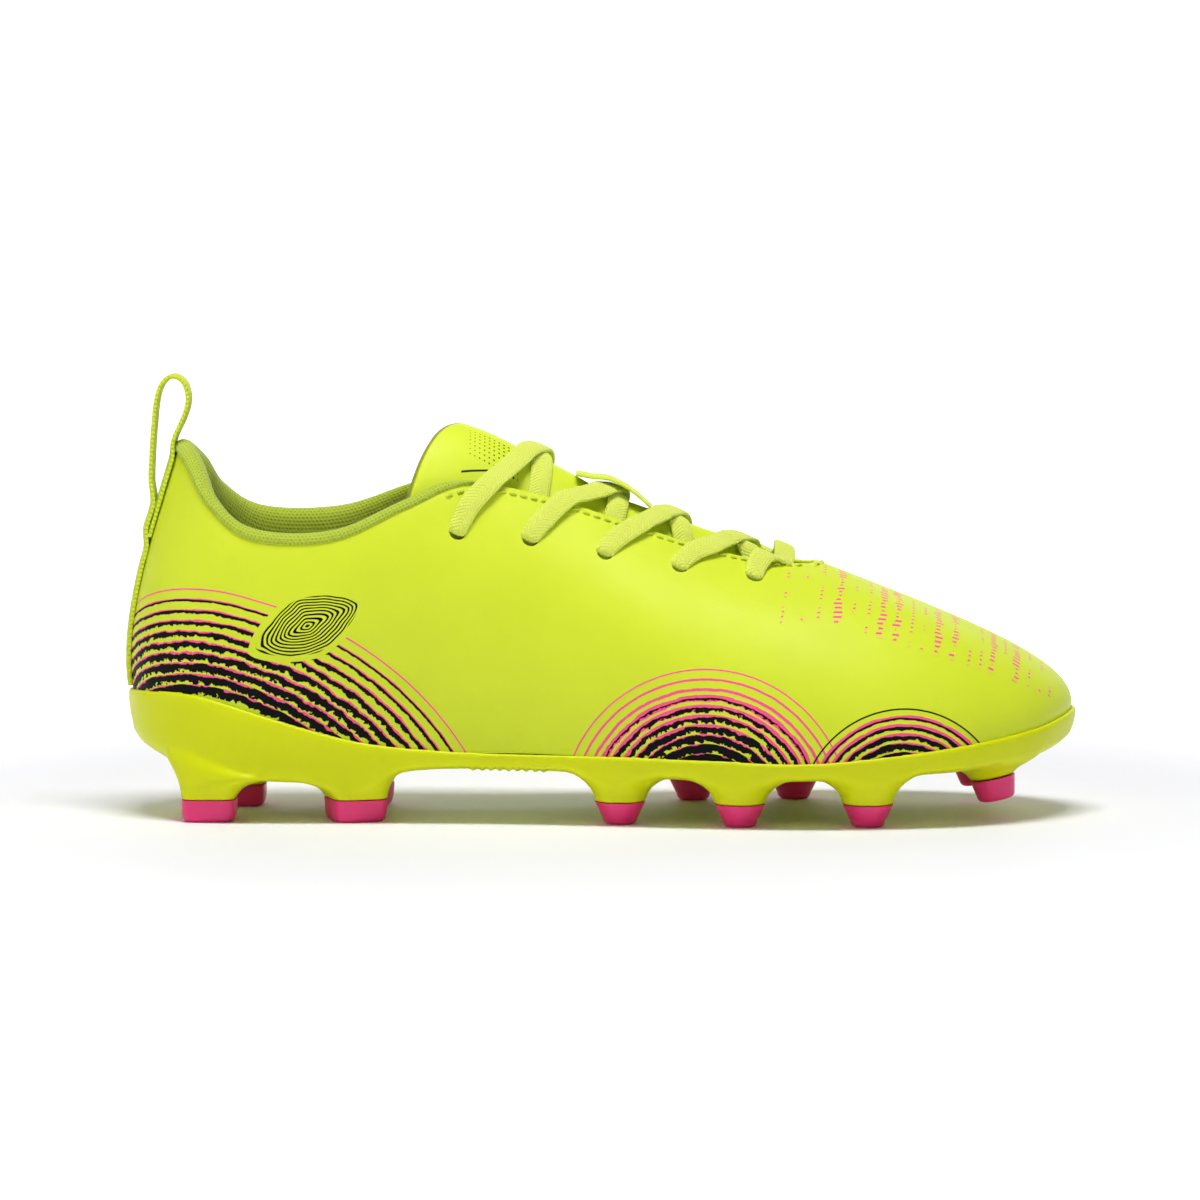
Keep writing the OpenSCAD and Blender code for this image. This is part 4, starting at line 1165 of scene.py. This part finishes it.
# The pull loop's middle line as (x, z) pairs.
LOOP_ROUTE = [(-112.5, 84), (-112.2, 91), (-111.8, 96.5), (-111.2, 102.5), (-110.4, 106.3),
              (-109.1, 108.7), (-107.3, 109.9), (-105.3, 109.5), (-103.8, 107.8), (-103.1, 105),
              (-103.4, 102), (-104.6, 98.8), (-105.8, 96.3), (-106.9, 93.4)]


def make_strap(material):
    """The heel tape and the pull loop as one strap: up the heel's back, over in a loop
    and down again between the tape and the heel. On the boot it bows round the heel."""
    def on_heel(t, off):
        return [tuple(p) for p in skin_point(0, np.asarray(t), off)]

    tape = on_heel(np.linspace(0.02, 0.58, 8), GAP + WEB_T / 2)
    lapped = on_heel([0.65, 0.75], GAP + WEB_T * 1.5 + 0.1)
    inner = on_heel([0.97, 0.9, 0.8, 0.7, 0.62], GAP + WEB_T / 2)
    stops = tape + lapped + [(x, 0, z) for x, z in LOOP_ROUTE] + inner
    line = smooth_line(stops, 8)
    around = 32
    strap = band("heel_strap", line, np.ones(len(line)), np.array([0, 1.0, 0]), WEB_W, WEB_T, around, 0.35)
    on_boot = [1.0] * len(tape + lapped) + [0.0] * len(LOOP_ROUTE) + [1.0] * len(inner)
    co = vertices(strap)
    co[:, 0] += np.repeat(stretched(on_boot, len(line)), around) * co[:, 1]**2 / (2 * HEEL_BACK_R)
    move_vertices(strap, co)
    strap.data.materials.append(material)
    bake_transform(strap)
    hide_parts("heel_webbing", "pull_loop")


# ---- Sole and insole -------------------------------------------------------------
RIM_OUT = 1.2
TIP_H = 5.6
# Half widths of a stud at the plate, at the colour line and at the tip, half its length,
# and how square it is (2 is round).
StudSize = namedtuple("StudSize", "plate line tip length square")
HEEL_REAR = StudSize(11, 7.6, 6.6, 6.8, 5.0)
HEEL_FRONT = StudSize(12, 8.8, 7.6, 7.9, 5.0)
FORE = StudSize(8.8, 6.3, 4.3, 9, 2.0)
TOE = StudSize(8, 5.6, 4.8, 9, 2.0)
TOE_TILT = math.radians(-12)
TOE_LIFT = 5
HEEL_TURN = math.radians(18)
TURNED_SHARE = 0.88
TIP_ROUND = 1.6
STUD_COUNT = 48
# A stud's turn is about the vertical, and tight is the side of it, along X, on which its
# root flares less.
Stud = namedtuple("Stud", "name place size lift turn tight", defaults=(0, 0, 0))
STUDS = [
    Stud("heel_rear_lateral", (-97.2, -17.5), HEEL_REAR, tight=-1),
    Stud("heel_front_lateral", (-60.8, -17.5), HEEL_FRONT, turn=HEEL_TURN, tight=1),
    Stud("heel_rear_medial", (-92, 17), HEEL_REAR, tight=-1),
    Stud("heel_front_medial", (-60.5, 15.5), HEEL_FRONT, turn=-HEEL_TURN, tight=1),
    Stud("fore_lateral_1", (5, -25), FORE),
    Stud("fore_lateral_2", (34.5, -31), FORE),
    Stud("fore_lateral_3", (66, -31.5), FORE),
    Stud("fore_medial_1", (24, 28), FORE),
    Stud("fore_medial_2", (50, 31), FORE),
    Stud("toe_lateral", (99, -16), TOE, TOE_LIFT),
    Stud("toe_medial", (97, 21), TOE, TOE_LIFT),
]


def stud_ring(stud, half_x, half_y, z, square):
    """One level outline of a stud, turned and tilted with it."""
    x, y = rounded_section(STUD_COUNT, 2 * half_x, 2 * half_y, 2 / square).T
    if stud.turn:
        c, s = math.cos(stud.turn), math.sin(stud.turn)
        x, y = TURNED_SHARE * (c * x - s * y), TURNED_SHARE * (s * x + c * y)
    tilt = TOE_TILT if stud.lift else 0.0
    px = x * math.cos(tilt) + z * math.sin(tilt)
    pz = -x * math.sin(tilt) + z * math.cos(tilt)
    return np.stack([stud.place[0] + px, stud.place[1] + y, stud.lift + pz], -1)


def make_stud_tips(material):
    """The coloured ends of the studs, with rounded lower edges."""
    levels = [(TIP_H, 1.0, 0.0), (TIP_ROUND * 1.3, 0.15, 0.0)]
    levels += [(TIP_ROUND * (1 - math.sin(a)), 0.0, TIP_ROUND * (1 - math.cos(a)))
               for a in np.linspace(0, math.pi / 2, 8)]
    for stud in STUDS:
        size, rings = stud.size, []
        for z, share, inset in levels:
            r = size.tip + (size.line - size.tip) * share - inset
            rings.append(stud_ring(stud, min(r, size.length - inset), r, max(z, 0), size.square))
        obj = mesh_object("tip_" + stud.name, np.array(rings), tube_faces(len(rings), STUD_COUNT), 45)
        finish_piece(obj, material, ["stud_tip_" + stud.name])


def beyond_wall(ring, edge, normals):
    """The nearest points of the sole's side wall, its directions out, and how far past it
    each point of a ring is."""
    nearest_at = np.linalg.norm(ring[:, None, :2] - edge[None, :, :2], axis=-1).argmin(1)
    b, n = edge[nearest_at], normals[nearest_at]
    return b, n, ((ring - b) * n).sum(-1)


WALL_ROOM = 0.8
WALL_TOP = 2


def kept_inside(ring, own, edge, normals):
    """Pulls a stud root's ring in to the sole's side wall, so that its outer face runs
    straight from the colour line up to the rim. own is how far out the colour line is."""
    b, n, out = beyond_wall(ring, edge, normals)
    f = np.clip((ring[:, 2] - TIP_H) / (b[:, 2] - WALL_TOP - TIP_H), 0, 1)
    limit = own + (RIM_OUT * WALL_ROOM - own) * f**WALL_ROOM
    return ring - n * np.maximum(out - limit, 0)[:, None]


def sole_loops(s):
    """The plate's closed loops, from its underside over the rim to the top."""
    b, n = column(SOLE_POINT, s), outward(s)

    def under(inset, rise):
        q = b - n * inset
        q[:, 2] = along(UNDER_TABLE, q[:, 0]) + rise
        return q

    def rim(out, share):
        q = b + n * out
        q[:, 2] = b[:, 2] - share * (b[:, 2] - along(UNDER_TABLE, b[:, 0]))
        return q

    top = skin_point(s, 0, RIM_OUT * 0.6) + [0, 0, 0.3]
    inside = skin_point(s, 0, -SKIN * 0.6) + [0, 0, -0.6]
    floor = b - n * 9
    floor[:, 2] = along(FLOOR_TABLE, floor[:, 0]) - 0.4
    return [under(16, 0.2), under(9, 0), under(4.4, 0.1), under(2, 0.8), rim(RIM_OUT - 1.4, 0.78),
            rim(RIM_OUT - 0.5, 0.45), rim(RIM_OUT, 0.14), rim(RIM_OUT * 0.9, 0.03), top, inside, floor]


def smooth_mesh(obj, rounds, weight):
    """Evens out a mesh: each vertex moves towards its neighbours by its weight."""
    co = vertices(obj).astype(float)
    edges = np.empty(len(obj.data.edges) * 2, np.int32)
    obj.data.edges.foreach_get("vertices", edges)
    a, b = edges.reshape(-1, 2).T
    n = len(co)
    neighbours = np.bincount(np.concatenate([a, b]), minlength=n)[:, None]
    for _ in range(rounds):
        total = [np.bincount(a, co[b, k], n) + np.bincount(b, co[a, k], n) for k in range(3)]
        co += weight[:, None] * (np.stack(total, -1) / neighbours - co)
    move_vertices(obj, co)


SCALLOPS = (-32.5, -13.5)
SCALLOPS_OUT = -22
SCALLOP_PITCH = 2.2
SCALLOP_DEPTH = 0.55
SCALLOP_REACH = 2.4


def scallop(obj):
    """Small teeth along the outer lower edge under the arch."""
    co = vertices(obj).astype(float)
    x, y, z = co.T
    inside = (x > SCALLOPS[0]) & (x < SCALLOPS[1]) & (y < SCALLOPS_OUT)
    near = np.clip(1 - np.abs(z - along(UNDER_TABLE, x)) / SCALLOP_REACH, 0, 1) * inside
    wave = 0.5 - 0.5 * np.cos((x - SCALLOPS[0]) * 2 * math.pi / SCALLOP_PITCH)
    co[:, 2] -= SCALLOP_DEPTH * near * wave
    move_vertices(obj, co)


ROOT_TOP = 1.3
ROOT_TIGHT = 0.55
PLATE_SQUARE = 2.3


def root_rings(stud, edge, normals):
    """A stud's root: straight at the colour line, then flaring wide into the plate."""
    size, middle_x = stud.size, stud.place[0]
    under = float(along(UNDER_TABLE, middle_x)) - stud.lift
    rings, own, foot = [], None, None
    for h in np.linspace(0, ROOT_TOP, 20):
        grow = size.line * (0.16 * h + 0.75 * min(h, 1.15)**2.6)
        half_x, half_y = min(size.line, size.length) + grow, size.line + grow * 0.8
        square = size.square + (PLATE_SQUARE - size.square) * min(h, 1)
        ring = stud_ring(stud, half_x, half_y, TIP_H + h * (under - TIP_H), square)
        if own is None:
            own, foot = beyond_wall(ring, edge, normals)[2].max(), ring[:, 2].copy()
        over = np.maximum(stud.tight * (ring[:, 0] - middle_x) - half_x + grow, 0)
        ring[:, 0] -= stud.tight * over * ROOT_TIGHT
        ring[:, 2] = foot + h * (along(UNDER_TABLE, ring[:, 0]) - foot)
        rings.append(kept_inside(ring, own, edge, normals))
    return rings


def cap_faces(first, n, flip):
    """Closes one of the plate's loops straight across; flip is 1 or -1."""
    half = n // 2
    corners = [(j, j + 1, n - j - 1, n - j) for j in range(1, half - 1)]
    corners += [(0, 1, n - 1), (half - 1, half, half + 1)]
    return [[first + k for k in face][::flip] for face in corners]


VOXEL = 0.55
HEEL_FROM = -50
ROOT_REACH_HEEL, ROOT_REACH_FORE = 7.5, 2.5


def root_share(co):
    """How much each of the moulding's vertices belongs to a stud's root, from 0 to 1."""
    near = np.zeros(len(co))
    for stud in STUDS:
        away = np.hypot(co[:, 0] - stud.place[0], co[:, 1] - stud.place[1])
        near = np.maximum(near, np.clip((stud.size.plate * 2.1 - away) / 4, 0, 1))
    reach = np.where(co[:, 0] < HEEL_FROM, ROOT_REACH_HEEL, ROOT_REACH_FORE)
    below = np.clip((along(UNDER_TABLE, co[:, 0]) + reach - co[:, 2]) / 2, 0, 1)
    above_line = np.clip(co[:, 2] - TIP_H - 0.8, 0, 1)
    return near * below * above_line


def make_sole(material):
    """The plate with its stud roots flowing out of it, as one moulding."""
    s = np.linspace(0, LOOP, LOOP * 8, endpoint=False)
    points = sole_loops(s)
    n, top = len(s), len(points) - 1
    faces = grid_faces(len(points), n, False, True) + cap_faces(0, n, 1) + cap_faces(top * n, n, -1)
    count = len(points) * n
    edge, normals = column(SOLE_POINT, s), outward(s)
    for stud in STUDS:
        rings = root_rings(stud, edge, normals)
        faces += tube_faces(len(rings), STUD_COUNT, count)
        count += len(rings) * STUD_COUNT
        points += rings
    obj = mesh_object("sole_moulding", np.concatenate(points), faces)
    with_modifier(obj, "REMESH", mode="VOXEL", voxel_size=VOXEL * MM)
    co = vertices(obj)
    smooth_mesh(obj, 3, np.full(len(co), 0.4))
    smooth_mesh(obj, 26, 0.5 * root_share(co))
    scallop(obj)
    obj.data.shade_smooth()
    finish_piece(obj, material, ["outsole_plate"])


BOARD = 1.0
SOCK = 3.6


def inside_loop(s, off, rise):
    """A loop inside the boot, above its floor."""
    q = skin_point(s, tuck_t(s), off)
    q[:, 2] = along(FLOOR_TABLE, q[:, 0]) + rise
    return q


def filled_loops(name, stack):
    """A flat layer from stacked loops, closed across with evenly spaced strips."""
    stack = np.array(stack)
    n = stack.shape[1]
    half = n // 2
    left, right = stack[:, 1:half], stack[:, :half:-1]
    steps = np.linspace(0, 1, 25)[1:-1]
    verts, faces = list(stack.reshape(-1, 3)), grid_faces(len(stack), n, False, True)
    for level, flip in ((0, 1), (len(stack) - 1, -1)):
        base = len(verts)
        across = left[level][:, None] * (1 - steps[:, None]) + right[level][:, None] * steps[:, None]
        verts += list(across.reshape(-1, 3))
        m = len(steps)

        def at(j, k):
            if k < 0:
                return level * n + j + 1
            if k >= m:
                return level * n + n - 1 - j
            return base + j * m + k

        for j in range(half - 2):
            faces += [[at(j, k), at(j + 1, k), at(j + 1, k + 1), at(j, k + 1)][::flip] for k in range(-1, m)]
        for end, j in ((level * n, 0), (level * n + half, half - 2)):
            turn = flip if j == 0 else -flip
            faces += [[end, at(j, k), at(j, k + 1)][::turn] for k in range(-1, m)]
    return mesh_object(name, np.array(verts), faces, 50)


def make_insole(cloth, board):
    """The padded sockliner, and the lasting board under it."""
    s = np.linspace(0, LOOP, LOOP * 6, endpoint=False)
    low = GAP + BOARD + 0.1
    outline = [(-5.2, 0), (-5.0, 0.6), (-5.0, SOCK - 0.9), (-5.3, SOCK - 0.25), (-6.2, SOCK)]
    sock = filled_loops("sockliner", [inside_loop(s, off, low + rise) for off, rise in outline])
    sock.data.materials.append(cloth)
    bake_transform(sock)
    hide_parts("sockliner_front", "sockliner_rear")
    base = filled_loops("lasting_board", [inside_loop(s, -0.35, GAP), inside_loop(s, -0.3, GAP + BOARD)])
    finish_piece(base, board, ["strobel_board"])


# ---- Assembly --------------------------------------------------------------------
def main():
    make_camera()
    make_studio()
    lace, film = lace_material(), simple_material("aglet_film", (0.75, 0.82, 0.5), 3.0, 0.02, 0.25)
    for side, route in (("lateral", TAIL_LATERAL), ("medial", TAIL_MEDIAL)):
        make_tail(side, route, lace, film)
    make_lace(lace)
    cutter = eyelet_cutter()
    skin = plain_skin_material("tongue_strap_skin", LIME)
    stiff = simple_material("stiffener_sheet", BUFF, 0.8, 0.05)
    tape = simple_material("reinforcement_tape", BUFF, 0.4, 0.08)
    # 0.6 sets the painted shade in the lining's openings.
    lining_cloth = mesh_material("lining_mesh", MESH, 1.5, 0.6)
    make_upper(upper_material(), simple_material("upper_backing", (0.62, 0.72, 0.10), 0.5, 0.1), cutter)
    make_lining(lining_cloth, cutter)
    make_layer("heel_cup", "heel_counter", HEEL_CUP_SPAN, HEEL_CUP_RISE, COUNTER, stiff)
    make_layer("toe_cap_stiffener", "toe_puff", TOE_CAP_SPAN, TOE_CAP_RISE, PUFF, stiff)
    for side, name in ((-1, "lateral"), (1, "medial")):
        span = sorted(on_side(side, s) for s in FACING_SPAN)
        make_layer("facing_tape_" + name, "eyestay_" + name, span, FACING_RISE, EYESTAY,
                   tape, cutter)
    bpy.data.objects.remove(cutter)
    # 0.78 sets the painted shade in the collar's openings.
    make_collar(mesh_material("collar_mesh", MESH, 1.0, 0.78))
    make_tongue(tongue_material())
    make_keeper(skin)
    make_stitches(simple_material("sewing_thread", (0.62, 0.74, 0.05), 0.25, 0.06, 0.55))
    make_strap(webbing_material())
    make_sole(sole_material())
    make_stud_tips(tip_material())
    make_insole(simple_material("sockliner_cloth", (0.55, 0.66, 0.08), 0.5, 0.1, 0.85), stiff)


main()
